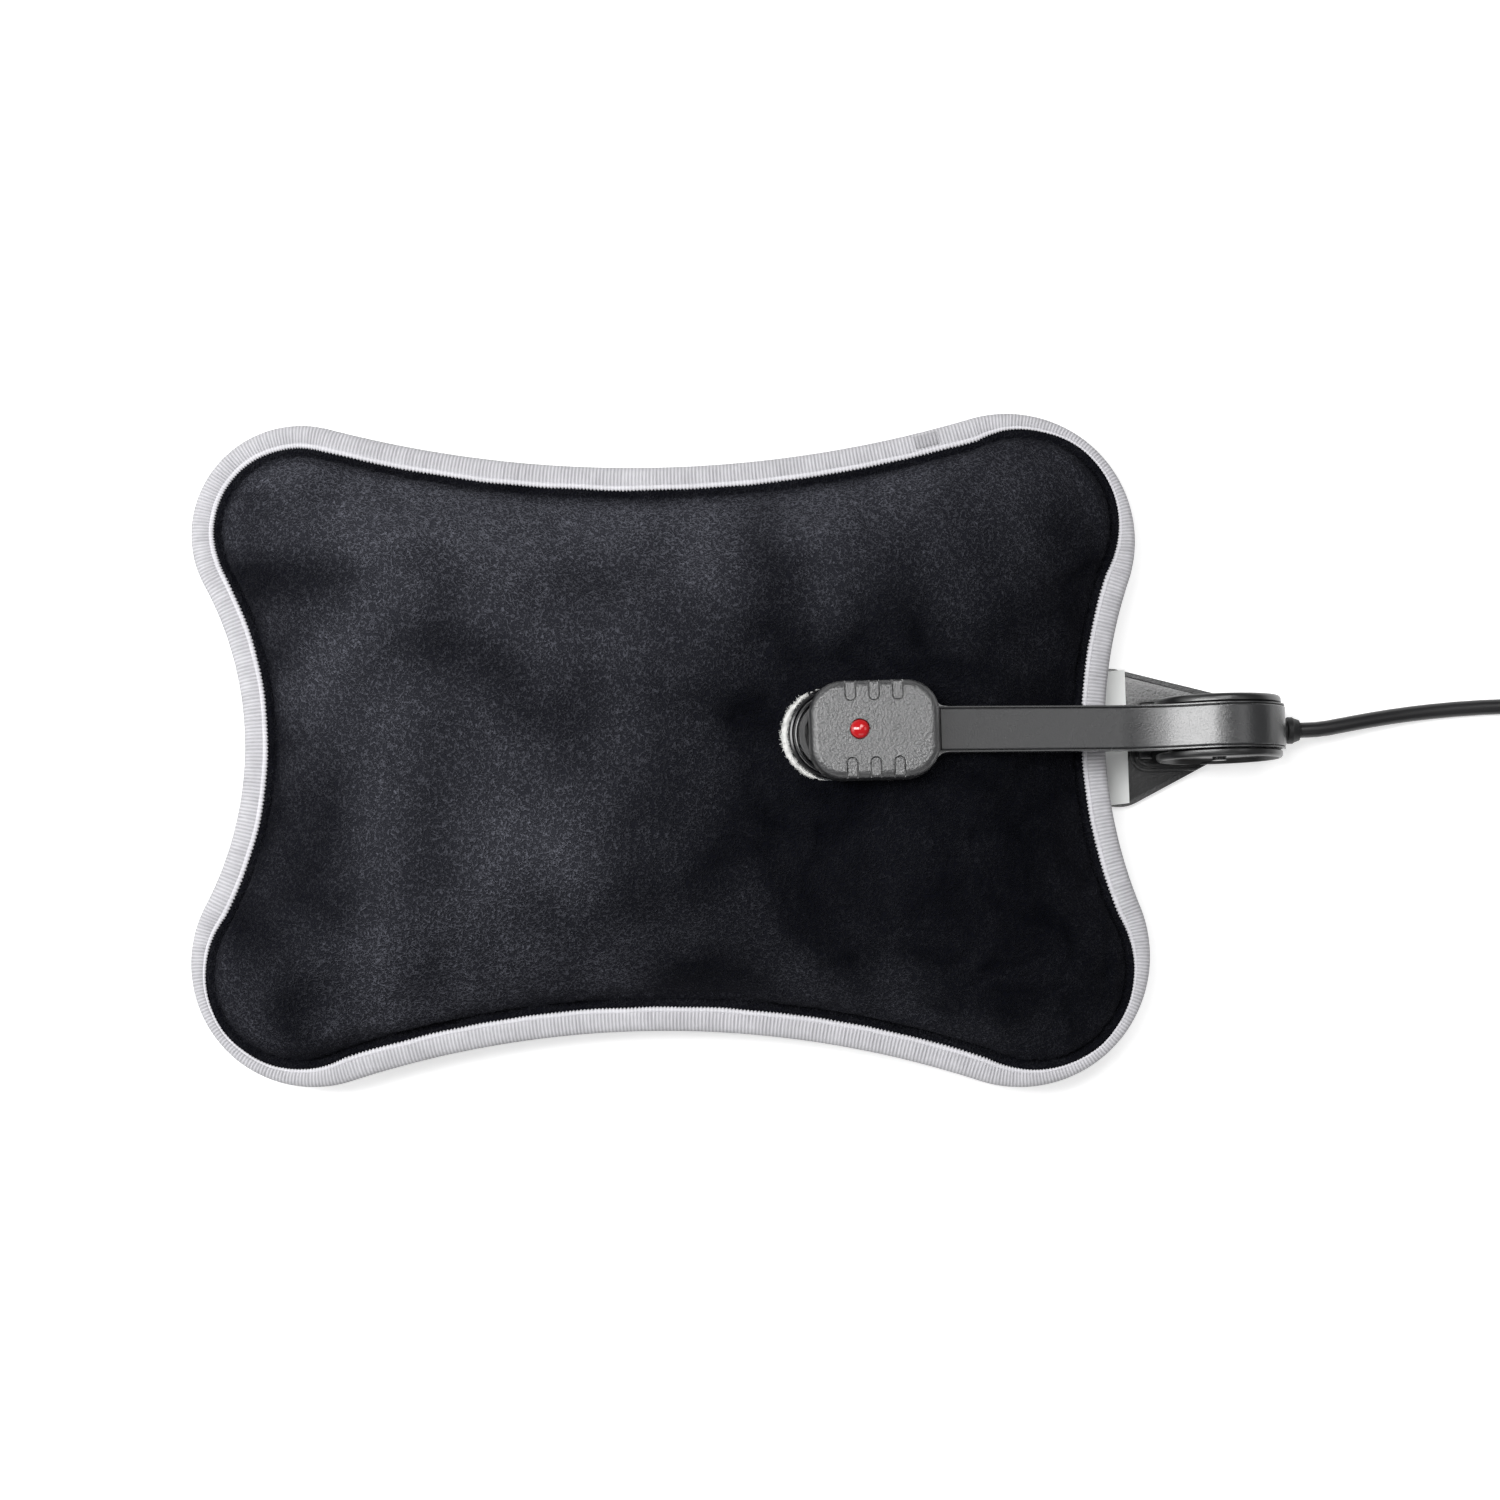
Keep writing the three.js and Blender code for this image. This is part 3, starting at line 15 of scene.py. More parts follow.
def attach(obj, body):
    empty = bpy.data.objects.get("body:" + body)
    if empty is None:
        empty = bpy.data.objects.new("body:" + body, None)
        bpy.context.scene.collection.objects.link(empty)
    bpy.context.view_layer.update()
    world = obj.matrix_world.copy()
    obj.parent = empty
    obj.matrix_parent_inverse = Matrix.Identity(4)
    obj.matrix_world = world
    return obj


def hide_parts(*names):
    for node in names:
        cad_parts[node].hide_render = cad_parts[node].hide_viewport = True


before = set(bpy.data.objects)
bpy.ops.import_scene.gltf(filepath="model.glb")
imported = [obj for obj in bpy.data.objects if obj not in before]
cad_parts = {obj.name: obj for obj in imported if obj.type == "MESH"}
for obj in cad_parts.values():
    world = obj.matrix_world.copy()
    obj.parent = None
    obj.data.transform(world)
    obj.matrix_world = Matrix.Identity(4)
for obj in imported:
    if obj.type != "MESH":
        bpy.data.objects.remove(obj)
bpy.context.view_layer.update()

bl_info = {
    "name": "Electric hot water bottle",
    "version": (1, 0, 0),
    "blender": (4, 5, 0),
    "location": "View3D > Sidebar > Bottle",
    "description": "Plush covers, trim, port, clamp charger and cord over the packed solids",
    "category": "Object",
}

MM = 0.001
BAG = "bag_and_lower_jaw"
JAW = "upper_jaw"

# Sizes shared with the part's source
GAP = 0.3
BAG_LENGTH = 271
BAG_WIDTH = 189
BAG_HEIGHT = 45
SEAM = 16
BINDING_WIDTH = 6.4
BINDING_HEIGHT = 4.6
PORT_LENGTH = 40.2
PORT_WIDTH = 25.2
PORT_LEVEL = 43
PORT_FLAT = 17.8
PORT_FADE = 21
LIP_TOP = 44.6
CLAMP_TURN = math.radians(1.6)
PLATE_TURN = math.radians(5.6)
PLATE_SHIFT = 2.4
HINGE_X = 154.7
HINGE_Y = 6.05
HINGE_Z = 21.6
JAW_REACH = 101.3
HEAD_X = -98.3
HEAD_LENGTH = 35.3
HEAD_WIDTH = 26.6
HEAD_CORNER = 9
HEAD_BOTTOM = 44.9
SHELL_TOP = 51.5
HEAD_TOP = 58.4
ARM_TOP = 50
ARM_WIDTH = 12.6
ARM_DEPTH = 4.6
ARM_SINK = 6.6
ARM_BLEND = 36
DRUM_RADIUS = 18.6
DISC_RADIUS = 17.7
BAND_END = math.radians(5)
JAW_LIFT = 4.0
PADDLE_REACH = 112
PLATE_WIDE = 20.6
LIFT_FLAT = 35.6
LIFT_FADE = 14

PORT_HALF = (PORT_LENGTH - PORT_WIDTH) / 2
HEAD_END = HEAD_X + HEAD_LENGTH / 2

CLAMP = Matrix.Translation((HINGE_X, HINGE_Y, 0)) @ Matrix.Rotation(CLAMP_TURN, 4, "Z")
PADDLE = CLAMP @ Matrix.Rotation(PLATE_TURN, 4, "Z")
LOWER = PADDLE @ Matrix.Translation((0, PLATE_SHIFT, 0))
PORT = CLAMP @ Matrix.Translation((-JAW_REACH, 0, 0))
WORLD = Matrix.Identity(4)


class BottleLooks(bpy.types.PropertyGroup):
    plush: bpy.props.FloatVectorProperty(
        name="Plush", description="Colour of the pile", subtype="COLOR", size=3, min=0, max=1,
        default=(0.0018, 0.002, 0.004))
    # The pile's lighter colour, which the nap mask also lays on as painted light where the lamps fall
    # strongest
    plush_nap_and_light: bpy.props.FloatVectorProperty(
        name="Plush nap", description="Colour where the pile is brushed the other way", subtype="COLOR",
        size=3, min=0, max=1, default=(0.15, 0.154, 0.184))
    trim: bpy.props.FloatVectorProperty(
        name="Trim", description="Colour of the thread trim", subtype="COLOR", size=3, min=0, max=1,
        default=(0.5, 0.495, 0.52))
    plastic: bpy.props.FloatVectorProperty(
        name="Plastic", description="Colour of the satin plastic", subtype="COLOR", size=3, min=0, max=1,
        default=(0.055, 0.056, 0.059))
    lens: bpy.props.FloatVectorProperty(
        name="Lens", description="Colour of the indicator", subtype="COLOR", size=3, min=0, max=1,
        default=(0.45, 0.004, 0.008))
    pile: bpy.props.FloatProperty(
        name="Pile height", description="How far the pile's clumps stand up", default=0.00022,
        min=0, max=0.002, unit="LENGTH")
    rib_pitch: bpy.props.FloatProperty(
        name="Rib pitch", description="Distance from thread to thread along the trim", default=0.001,
        min=0.0006, max=0.004, unit="LENGTH")
    cord_length: bpy.props.FloatProperty(
        name="Cord length", description="Real length of the cord up to its plug", default=1.151,
        min=0.2, max=3, unit="LENGTH")
    cord_diameter: bpy.props.FloatProperty(
        name="Cord diameter", description="Thickness of the cord", default=0.0044, min=0.003, max=0.008,
        unit="LENGTH")


def looks():
    return bpy.context.scene.bottle_looks


# Modelling helpers

SLACK = 0.05
WELD = 0.001


def only(obj):
    for other in list(bpy.context.selected_objects):
        other.select_set(False)
    obj.select_set(True)
    bpy.context.view_layer.objects.active = obj


def edit(obj, *steps):
    """In edit mode, runs each step with the whole mesh selected."""
    only(obj)
    bpy.ops.object.mode_set(mode="EDIT")
    for step in steps:
        bpy.ops.mesh.select_all(action="SELECT")
        step()
    bpy.ops.object.mode_set(mode="OBJECT")
    return obj


def edit_some(obj, kind, test, step):
    """In edit mode, runs the step on the faces or edges that pass the test."""
    only(obj)
    bpy.ops.object.mode_set(mode="EDIT")
    bpy.ops.mesh.select_mode(type=kind)
    bpy.ops.mesh.select_all(action="DESELECT")
    mesh = bmesh.from_edit_mesh(obj.data)
    for item in mesh.faces if kind == "FACE" else mesh.edges:
        item.select_set(bool(test(item)))
    mesh.select_flush_mode()
    bmesh.update_edit_mesh(obj.data)
    step()
    bpy.ops.object.mode_set(mode="OBJECT")


def outward():
    bpy.ops.mesh.normals_make_consistent(inside=False)


def bevel(obj, test, size, segments=3, profile=0.5):
    edit_some(obj, "EDGE", test, lambda: bpy.ops.mesh.bevel(
        offset=size, offset_type="OFFSET", segments=segments, profile=profile))


def apply(obj, kind, **values):
    only(obj)
    modifier = obj.modifiers.new(kind.title(), kind)
    for key, value in values.items():
        setattr(modifier, key, value)
    bpy.ops.object.modifier_apply(modifier=modifier.name)


def smooth(obj, angle, even=False):
    only(obj)
    bpy.ops.object.shade_smooth_by_angle(angle=math.radians(angle))
    if even:
        apply(obj, "WEIGHTED_NORMAL", keep_sharp=True, weight=100)


def soften(obj, width, sharp, angle):
    """Breaks the sharp edges of a moulded piece, and shades it evenly."""
    apply(obj, "BEVEL", width=width, segments=2, limit_method="ANGLE", angle_limit=math.radians(sharp))
    smooth(obj, angle, True)


def rename(obj, name):
    obj.name = obj.data.name = name


def block(name, west, east, south, north, bottom, top):
    """A cube set to its size and place."""
    middle = ((west + east) / 2, (south + north) / 2, (bottom + top) / 2)
    bpy.ops.mesh.primitive_cube_add(size=1, location=middle)
    obj = bpy.context.object
    obj.scale = (east - west, north - south, top - bottom)
    only(obj)
    bpy.ops.object.transform_apply(location=True, rotation=True, scale=True)
    rename(obj, name)
    return obj


def upright(edge):
    a, b = (v.co for v in edge.verts)
    return abs(a.z - b.z) > 10 * (a - b).xy.length


def level(height):
    """The edges that lie at that height."""
    return lambda edge: all(abs(v.co.z - height) < SLACK for v in edge.verts)


def rim(height):
    """The edges round a flat face at that height."""
    def test(edge):
        flat = sum(abs(face.normal.z) > 0.9 for face in edge.link_faces)
        return level(height)(edge) and flat == 1
    return test


def rounded_block(name, size, corner, segments=10):
    obj = block(name, *size)
    bevel(obj, upright, corner, segments)
    return obj


def object_from(mesh, name):
    """An object that holds a drawn mesh."""
    data = bpy.data.meshes.new(name)
    mesh.to_mesh(data)
    mesh.free()
    obj = bpy.data.objects.new(name, data)
    bpy.context.collection.objects.link(obj)
    return obj


def prism(name, outline, south, north):
    """An outline in X and Z, drawn as one face and extruded across Y."""
    mesh = bmesh.new()
    mesh.faces.new([mesh.verts.new((x, south, z)) for x, z in outline])
    move = {"value": (0, north - south, 0)}
    return edit(object_from(mesh, name),
                lambda: bpy.ops.mesh.extrude_region_move(TRANSFORM_OT_translate=move), outward)


def slab(name, outline, bottom, top):
    """An outline in X and Y, drawn as one face and extruded up."""
    obj = prism(name, outline, bottom, top)
    obj.data.transform(Matrix(((1, 0, 0, 0), (0, 0, 1, 0), (0, 1, 0, 0), (0, 0, 0, 1))))
    return edit(obj, outward)


def loft(name, rings, closed=True):
    """A skin over rings of points. Open ends are filled."""
    mesh = bmesh.new()
    rows = [[mesh.verts.new(p) for p in ring] for ring in rings]
    for a, b in zip(rows, rows[1:] + rows[:1] if closed else rows[1:]):
        for i in range(len(a)):
            j = (i + 1) % len(a)
            mesh.faces.new((a[i], a[j], b[j], b[i]))
    if not closed:
        mesh.faces.new(rows[0])
        mesh.faces.new(rows[-1])
    return edit(object_from(mesh, name), outward)


def lathe(name, profile, steps):
    """Spins a profile of (radius, height) round the Z axis."""
    mesh = bmesh.new()
    verts = [mesh.verts.new((radius, 0, height)) for radius, height in profile]
    for a, b in zip(verts, verts[1:]):
        mesh.edges.new((a, b))
    return edit(object_from(mesh, name),
                lambda: bpy.ops.mesh.spin(steps=steps, angle=math.tau, center=(0, 0, 0), axis=(0, 0, 1)),
                lambda: bpy.ops.mesh.remove_doubles(threshold=WELD), outward)


def join(first, *others):
    only(first)
    for other in others:
        other.select_set(True)
    bpy.ops.object.join()
    return first


def carve(obj, cutter, operation="DIFFERENCE"):
    apply(obj, "BOOLEAN", object=cutter, operation=operation, solver="EXACT")
    bpy.data.objects.remove(cutter, do_unlink=True)


def settle(obj, place, body, slot, finish, *nodes):
    """Puts a finished piece in its place, in metres, on its body."""
    obj.data.transform(Matrix.Scale(MM, 4) @ place)
    obj.data.update()
    obj.data.materials.clear()
    obj.data.materials.append(paint(finish))
    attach(obj, body)
    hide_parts(*nodes)


# Shapes shared by several pieces

# For each corner its centre, in shares of the half sizes, its radius, in shares of the width, the least
# share of the binding's width there, and the radius of the hollow side that follows, as the corner's
CORNER_SHARES = (
    (0.708, 0.64, 0.193, 0.42, 1.8),
    (-0.779, 0.661, 0.164, 0.97, 0.513),
    (-0.738, -0.63, 0.185, 0.46, 1.508),
    (0.727, -0.608, 0.196, 0.44, 0.704),
)
ARM_STEPS = 12
DRUM_STEPS = 48


def portion(value, whole):
    """How much of the whole the value is, kept between 0 and 1."""
    return min(max(value / whole, 0), 1)


def ease(t):
    return t * t * (3 - 2 * t)


def fade(distance, flat, width):
    return 1 - ease(portion(distance - flat, width))


def toward(angle):
    return Vector((math.cos(angle), math.sin(angle)))


def bearing(way):
    return math.atan2(way.y, way.x)


def hollow_centre(corner, after):
    """The centre of the hollow side between two corners, which touches both from outside."""
    centre, radius, _, side = corner
    way = after[0] - centre
    span = way.length
    way.normalize()
    out = Vector((way.y, -way.x))
    near = side + radius
    far = side + after[1]
    along = (near ** 2 - far ** 2 + span ** 2) / (2 * span)
    return centre + way * along + out * math.sqrt(near ** 2 - along ** 2)


def outline(steps=40):
    """The bag's outline as (place, outward direction, binding width)."""
    corners = []
    for along, across, radius, binding, side in CORNER_SHARES:
        centre = Vector((along * BAG_LENGTH / 2, across * BAG_WIDTH / 2))
        corners.append((centre, radius * BAG_WIDTH, binding, side * BAG_WIDTH))
    nexts = corners[1:] + corners[:1]
    hollows = [hollow_centre(corner, after) for corner, after in zip(corners, nexts)]
    points = []
    for k, (centre, radius, binding, side) in enumerate(corners):
        start = bearing(hollows[k - 1] - centre)
        sweep = (bearing(hollows[k] - centre) - start) % math.tau
        for step in range(steps):
            share = step / steps
            out = toward(start + sweep * share)
            width = BINDING_WIDTH * (1 - (1 - binding) * math.sin(math.pi * share))
            points.append((centre + out * radius, out, width))
        start = bearing(centre - hollows[k])
        turn = (bearing(nexts[k][0] - hollows[k]) - start) % math.tau - math.tau
        for step in range(steps):
            out = -toward(start + turn * step / steps)
            points.append((hollows[k] - out * side, out, BINDING_WIDTH))
    return points


def stadium(radius, steps=40):
    """An oval path round the port as (place, outward direction)."""
    points = []
    for sign in (1, -1):
        for step in range(steps + 1):
            out = toward(math.pi * (step / steps - 0.5) + (0 if sign > 0 else math.pi))
            points.append((Vector((sign * PORT_HALF, 0)) + out * radius, out))
    return points


def evenly(points, count):
    """The same closed path at equal distances, with what goes with each point."""
    rows = [[*place, *out, *rest] for place, out, *rest in points]
    rows.append(rows[0])
    marks = [0]
    for a, b in zip(rows, rows[1:]):
        marks.append(marks[-1] + math.hypot(b[0] - a[0], b[1] - a[1]))
    result = []
    k = 0
    for i in range(count):
        mark = marks[-1] * i / count
        while marks[k + 1] < mark:
            k += 1
        share = (mark - marks[k]) / max(marks[k + 1] - marks[k], 1e-9)
        row = [a + (b - a) * share for a, b in zip(rows[k], rows[k + 1])]
        result.append((Vector(row[:2]), Vector(row[2:4]).normalized(), *row[4:]))
    return result


def path_length(points):
    places = [p[0] for p in points] + [points[0][0]]
    return sum((b - a).length for a, b in zip(places, places[1:]))


def band(name, path, profile, height=0):
    """A closed band: the profile of (out, up), or one for each step, carried along a closed path."""
    rings = []
    for k, (place, out, *_) in enumerate(path):
        ring = []
        for outward_by, up in profile(k) if callable(profile) else profile:
            spot = place + out * outward_by
            ring.append((spot.x, spot.y, height + up))
        rings.append(ring)
    return loft(name, rings)


def arm_path(depth, start, end):
    """Side view of the arm and the band over the drum at a depth below the top."""
    centre = Vector((0, HINGE_Z))
    head = Vector((HEAD_END, ARM_TOP))
    foot = Vector((-DRUM_RADIUS, HINGE_Z + DRUM_RADIUS - ARM_SINK))
    way = (foot - head).normalized()
    up = Vector((-way.y, way.x))
    lift = (head - centre).dot(up) + ARM_BLEND
    back = math.sqrt((DRUM_RADIUS + ARM_BLEND) ** 2 - lift ** 2)
    blend = centre + up * lift - way * back
    points = [head + way * ((start - head.x) / way.x) - up * depth]
    first = bearing(-up) % math.tau
    last = bearing(centre - blend) % math.tau
    for step in range(ARM_STEPS + 1):
        angle = first + (last - first) * step / ARM_STEPS
        points.append(blend + toward(angle) * (ARM_BLEND + depth))
    for step in range(1, DRUM_STEPS + 1):
        angle = last - math.pi + (end - last + math.pi) * step / DRUM_STEPS
        points.append(centre + toward(angle) * (DRUM_RADIUS - depth))
    return points


def port_distance(spot):
    """How far a place lies from the middle line of the port, in the port's own frame."""
    return math.hypot(max(abs(spot.x) - PORT_HALF, 0), spot.y)


def port_share(x, y):
    return fade(port_distance(PORT.inverted() @ Vector((x, y, 0))), PORT_FLAT, PORT_FADE)


def floor_under(x, y):
    """The height of what the bag rests on: the paddle's top, fading to the floor."""
    spot = PADDLE.inverted() @ Vector((x, y, 0))
    past = max(-spot.x - PADDLE_REACH + PLATE_WIDE, 0)
    return JAW_LIFT * fade(math.hypot(past, spot.y), LIFT_FLAT, LIFT_FADE)


# Node helpers

# The places of a Mix node's factor, first and second input, and of its output
MIX_PLACES = {"FLOAT": (0, 2, 3, 0), "RGBA": (0, 6, 7, 2)}


def feed(tree, socket, term):
    """Links another node's output to the socket, or sets the socket to a plain value."""
    if isinstance(term, bpy.types.NodeSocket):
        tree.links.new(term, socket)
    else:
        socket.default_value = term


def add_node(tree, kind, *terms, **values):
    """A node whose first inputs take the terms, with its settings and named inputs as given."""
    made = tree.nodes.new(kind)
    for key, value in values.items():
        if hasattr(made, key):
            setattr(made, key, value)
        else:
            feed(tree, made.inputs[key.replace("_", " ")], value)
    for socket, term in zip(made.inputs, terms):
        feed(tree, socket, term)
    return made


def reckon(tree, operation, *terms, clamp=False):
    return add_node(tree, "ShaderNodeMath", *terms, operation=operation, use_clamp=clamp).outputs[0]


def stretch(tree, value, low, high, span=(0, 1)):
    """A value that goes over the span, set to run from low to high."""
    made = add_node(tree, "ShaderNodeMapRange", Value=value, From_Min=span[0], From_Max=span[1],
                    To_Min=low, To_Max=high)
    return made.outputs[0]


def blend(tree, kind, *terms):
    """Mixes two values or two colours by a factor, which comes first."""
    made = add_node(tree, "ShaderNodeMix", data_type=kind)
    *places, result = MIX_PLACES[kind]
    for place, term in zip(places, terms):
        feed(tree, made.inputs[place], term)
    return made.outputs[result]


def either(tree, *terms):
    """Mixes two shaders by a factor, which comes first."""
    return add_node(tree, "ShaderNodeMixShader", *terms).outputs[0]


def position(tree):
    return tree.nodes.new("ShaderNodeTexCoord").outputs["Object"]


def rays(tree, first, *others):
    """One for the rays of any of these kinds, otherwise zero."""
    path = tree.nodes.new("ShaderNodeLightPath").outputs
    result = path[first]
    for kind in others:
        result = reckon(tree, "MAXIMUM", result, path[kind])
    return result


# Materials

# How far the pile's curls stray and how deep they are, in metres
CURL_STRAY = 0.0022
CURL_DEPTH = 0.0012
STRAY_SCALE = 260
CURL_STEEPNESS = 10


def group(name, inputs, outputs):
    """A node group with its number inputs and their defaults, and its outputs and their kinds."""
    made = bpy.data.node_groups.new(name, "ShaderNodeTree")
    for label, value in inputs.items():
        socket = made.interface.new_socket(name=label, in_out="INPUT", socket_type="NodeSocketFloat")
        socket.default_value = value
    for label, kind in outputs.items():
        made.interface.new_socket(name=label, in_out="OUTPUT", socket_type="NodeSocket" + kind)
    return made, made.nodes.new("NodeGroupInput").outputs, made.nodes.new("NodeGroupOutput").inputs


def mottle_group():
    """Soft blotches in the object's own space, as a mask from 0 to 1."""
    tree, ins, outs = group("Mottle", {"Scale": 30, "Contrast": 2}, {"Mask": "Float"})
    cloud = add_node(tree, "ShaderNodeTexNoise", position(tree), Scale=ins["Scale"], Detail=4,
                     Roughness=0.62, Distortion=0.6)
    shift = reckon(tree, "SUBTRACT", cloud.outputs["Fac"], 0.5)
    gain = reckon(tree, "MULTIPLY", shift, ins["Contrast"])
    feed(tree, outs["Mask"], reckon(tree, "ADD", gain, 0.5, clamp=True))
    return tree


def grain_group():
    """Fine grain as a normal, and its height."""
    tree, ins, outs = group("Grain", {"Scale": 2000, "Strength": 0.3, "Depth": 0.0001},
                            {"Normal": "Vector", "Height": "Float"})
    cloud = add_node(tree, "ShaderNodeTexNoise", position(tree), Scale=ins["Scale"], Detail=3,
                     Roughness=0.6)
    bump = add_node(tree, "ShaderNodeBump", Height=cloud.outputs["Fac"], Strength=ins["Strength"],
                    Distance=ins["Depth"])
    feed(tree, outs["Normal"], bump.outputs["Normal"])
    feed(tree, outs["Height"], cloud.outputs["Fac"])
    return tree


def pile_group():
    """Curly pile: ridged worms about a millimetre thick, as a normal and a height."""
    tree, ins, outs = group("Pile", {"Scale": 620, "Strength": 0.8}, {"Normal": "Vector", "Height": "Float"})
    here = position(tree)
    warp = add_node(tree, "ShaderNodeTexNoise", here, Scale=STRAY_SCALE, Detail=2)
    push = add_node(tree, "ShaderNodeVectorMath", warp.outputs["Color"], (CURL_STRAY,) * 3, here,
                    operation="MULTIPLY_ADD")
    worm = add_node(tree, "ShaderNodeTexNoise", push.outputs[0], Scale=ins["Scale"], Detail=2,
                    Roughness=0.5)
    fold = reckon(tree, "ABSOLUTE", reckon(tree, "SUBTRACT", worm.outputs["Fac"], 0.5))
    hollow = reckon(tree, "MULTIPLY", fold, CURL_STEEPNESS, clamp=True)
    bump = add_node(tree, "ShaderNodeBump", invert=True, Height=hollow, Strength=ins["Strength"],
                    Distance=CURL_DEPTH)
    feed(tree, outs["Normal"], bump.outputs["Normal"])
    feed(tree, outs["Height"], hollow)
    return tree


GROUPS = {"Mottle": mottle_group, "Grain": grain_group, "Pile": pile_group}


def use_group(tree, name, **values):
    """Places a shared node group, which is made when first used."""
    made = tree.nodes.new("ShaderNodeGroup")
    made.node_tree = bpy.data.node_groups.get(name) or GROUPS[name]()
    for key, value in values.items():
        made.inputs[key].default_value = value
    return made.outputs


def tone(colour):
    """A plain colour, or a share of one of the colours that a user can change."""
    if isinstance(colour[0], str):
        name, share = colour
        colour = [min(part * share, 1) for part in getattr(looks(), name)]
    return (*colour, 1)


def finish(name, low, high, roughness, spread=0.08, mottle=40, contrast=2.2, relief="Grain", attribute="",
           weight=0.6, dim=0.0, grain=1500, strength=0.25, depth=0.0001, **sockets):
    """A material with two blotched colours, uneven roughness and a fine relief.

    A named attribute can steer the blotches, and the relief's hollows can be darkened as painted shade, with
    its crests a little lighter.
    """
    mat = bpy.data.materials.new(name)
    mat.use_nodes = True
    tree = mat.node_tree
    surface = tree.nodes["Principled BSDF"].inputs
    for key, value in sockets.items():
        surface[key.replace("_", " ")].default_value = value
    sizes = {"Depth": depth} if relief == "Grain" else {}
    bumps = use_group(tree, relief, Scale=grain, Strength=strength, **sizes)
    mask = use_group(tree, "Mottle", Scale=mottle, Contrast=contrast)["Mask"]
    if attribute:
        steer = add_node(tree, "ShaderNodeAttribute", attribute_name=attribute)
        mask = blend(tree, "FLOAT", weight, mask, steer.outputs["Fac"])
    feed(tree, surface["Roughness"], stretch(tree, mask, roughness - spread, roughness + spread))
    # Painted shade in the relief's hollows, and a little painted light on its crests
    if dim:
        mask = reckon(tree, "MULTIPLY", mask, stretch(tree, bumps["Height"], 1 + dim / 2, 1 - dim))
    feed(tree, surface["Base Color"], blend(tree, "RGBA", mask, tone(low), tone(high)))
    feed(tree, surface["Normal"], bumps["Normal"])
    return mat


RECIPES = {}
FINISHES = {}


def recipe(key, *plain, **extra):
    RECIPES[key] = (plain, extra)


def paint(key):
    """The material of that recipe, made when first asked for."""
    if key not in FINISHES:
        plain, extra = RECIPES[key]
        FINISHES[key] = finish(*plain, **extra)
    return FINISHES[key]


# The pile's mask comes mostly from the nap attribute, which holds painted light and shadow besides the nap
recipe("plush", "Plush", ("plush", 1), ("plush_nap_and_light", 1), 0.9, mottle=55, contrast=3.0, relief="Pile",
       attribute="nap", weight=0.9, dim=0.82, grain=930, strength=1.0, Sheen_Weight=0.012,
       Sheen_Roughness=0.5, Sheen_Tint=(0.75, 0.8, 1, 1), Specular_IOR_Level=0.03)
# The rib attribute paints the trim darker in the grooves between ribs, as painted shade, and lighter on the
# crests
recipe("trim", "Trim thread", ("trim", 0.64), ("trim", 1.3), 0.8, mottle=110, attribute="rib", weight=0.72,
       grain=2600, strength=0.5, depth=0.0002, Sheen_Weight=0.1)
# The bead is paler than the trim: its own pale thread and a painted highlight on its rounded top
recipe("trim_bead_and_highlight", "Trim ridge", ("trim", 1.05), ("trim", 1.45), 0.85, mottle=140, attribute="rib",
       grain=2600, strength=0.5, depth=0.0002, Sheen_Weight=0.1)
recipe("fluff", "Fluff", (0.5, 0.5, 0.49), (0.86, 0.86, 0.84), 0.95, mottle=420, grain=2400, strength=0.6,
       depth=0.0003, Sheen_Weight=0.4)
recipe("satin", "Satin plastic", ("plastic", 0.45), ("plastic", 0.6), 0.27, 0.03, mottle=60, grain=1700,
       strength=0.45, depth=0.00012, Specular_IOR_Level=0.95)
recipe("matt", "Matt plastic", ("plastic", 0.15), ("plastic", 0.25), 0.22, 0.03, mottle=60, strength=0.4,
       Specular_IOR_Level=0.75, IOR=1.6)
# The discs are painted darker than the other plastic, as painted shade on their faces
recipe("disc", "Disc plastic", ("plastic", 0.12), ("plastic", 0.2), 0.3, 0.03, mottle=60, grain=1700,
       strength=0.4, Specular_IOR_Level=0.9)
recipe("spark", "Spark plastic", ("plastic", 0.3), ("plastic", 0.62), 0.32, 0.03, mottle=70, strength=0.9,
       depth=0.0003, Specular_IOR_Level=1.0, IOR=1.6)
recipe("black", "Black plastic", (0.005, 0.005, 0.006), (0.009, 0.009, 0.01), 0.17, 0.03, grain=2600,
       strength=0.1, depth=0.00008)
recipe("rubber", "Soft rubber", (0.008, 0.008, 0.009), (0.016, 0.016, 0.017), 0.55, 0.06, grain=1800,
       strength=0.2)
recipe("jacket", "Cord jacket", (0.008, 0.008, 0.009), (0.014, 0.014, 0.015), 0.42, 0.06, mottle=25,
       grain=1200, strength=0.12)
recipe("pale", "Pale plastic", (0.92, 0.94, 0.92), (0.97, 0.98, 0.97), 0.45, 0.05, mottle=45, grain=2200,
       strength=0.1, depth=0.00008)
recipe("liner", "Bladder film", (0.2, 0.22, 0.24), (0.3, 0.32, 0.34), 0.4, 0.06)
recipe("water", "Water", (0.35, 0.52, 0.62), (0.45, 0.62, 0.72), 0.1, 0.03, Transmission_Weight=0.8,
       IOR=1.33)
recipe("brass", "Brass", (0.6, 0.42, 0.16), (0.75, 0.55, 0.24), 0.25, 0.06, Metallic=1.0)
recipe("steel", "Steel", (0.5, 0.51, 0.52), (0.62, 0.63, 0.64), 0.3, Metallic=1.0)
recipe("ceramic", "Ceramic", (0.64, 0.6, 0.52), (0.76, 0.72, 0.64), 0.6)
recipe("lens", "Red lens", ("lens", 0.85), ("lens", 1.1), 0.08, 0.02, mottle=200, strength=0.02,
       Coat_Weight=0.6, Coat_Roughness=0.04)
recipe("lamp", "Lamp glass", (0.75, 0.75, 0.7), (0.9, 0.9, 0.86), 0.08, 0.02, Transmission_Weight=0.7,
       IOR=1.5)
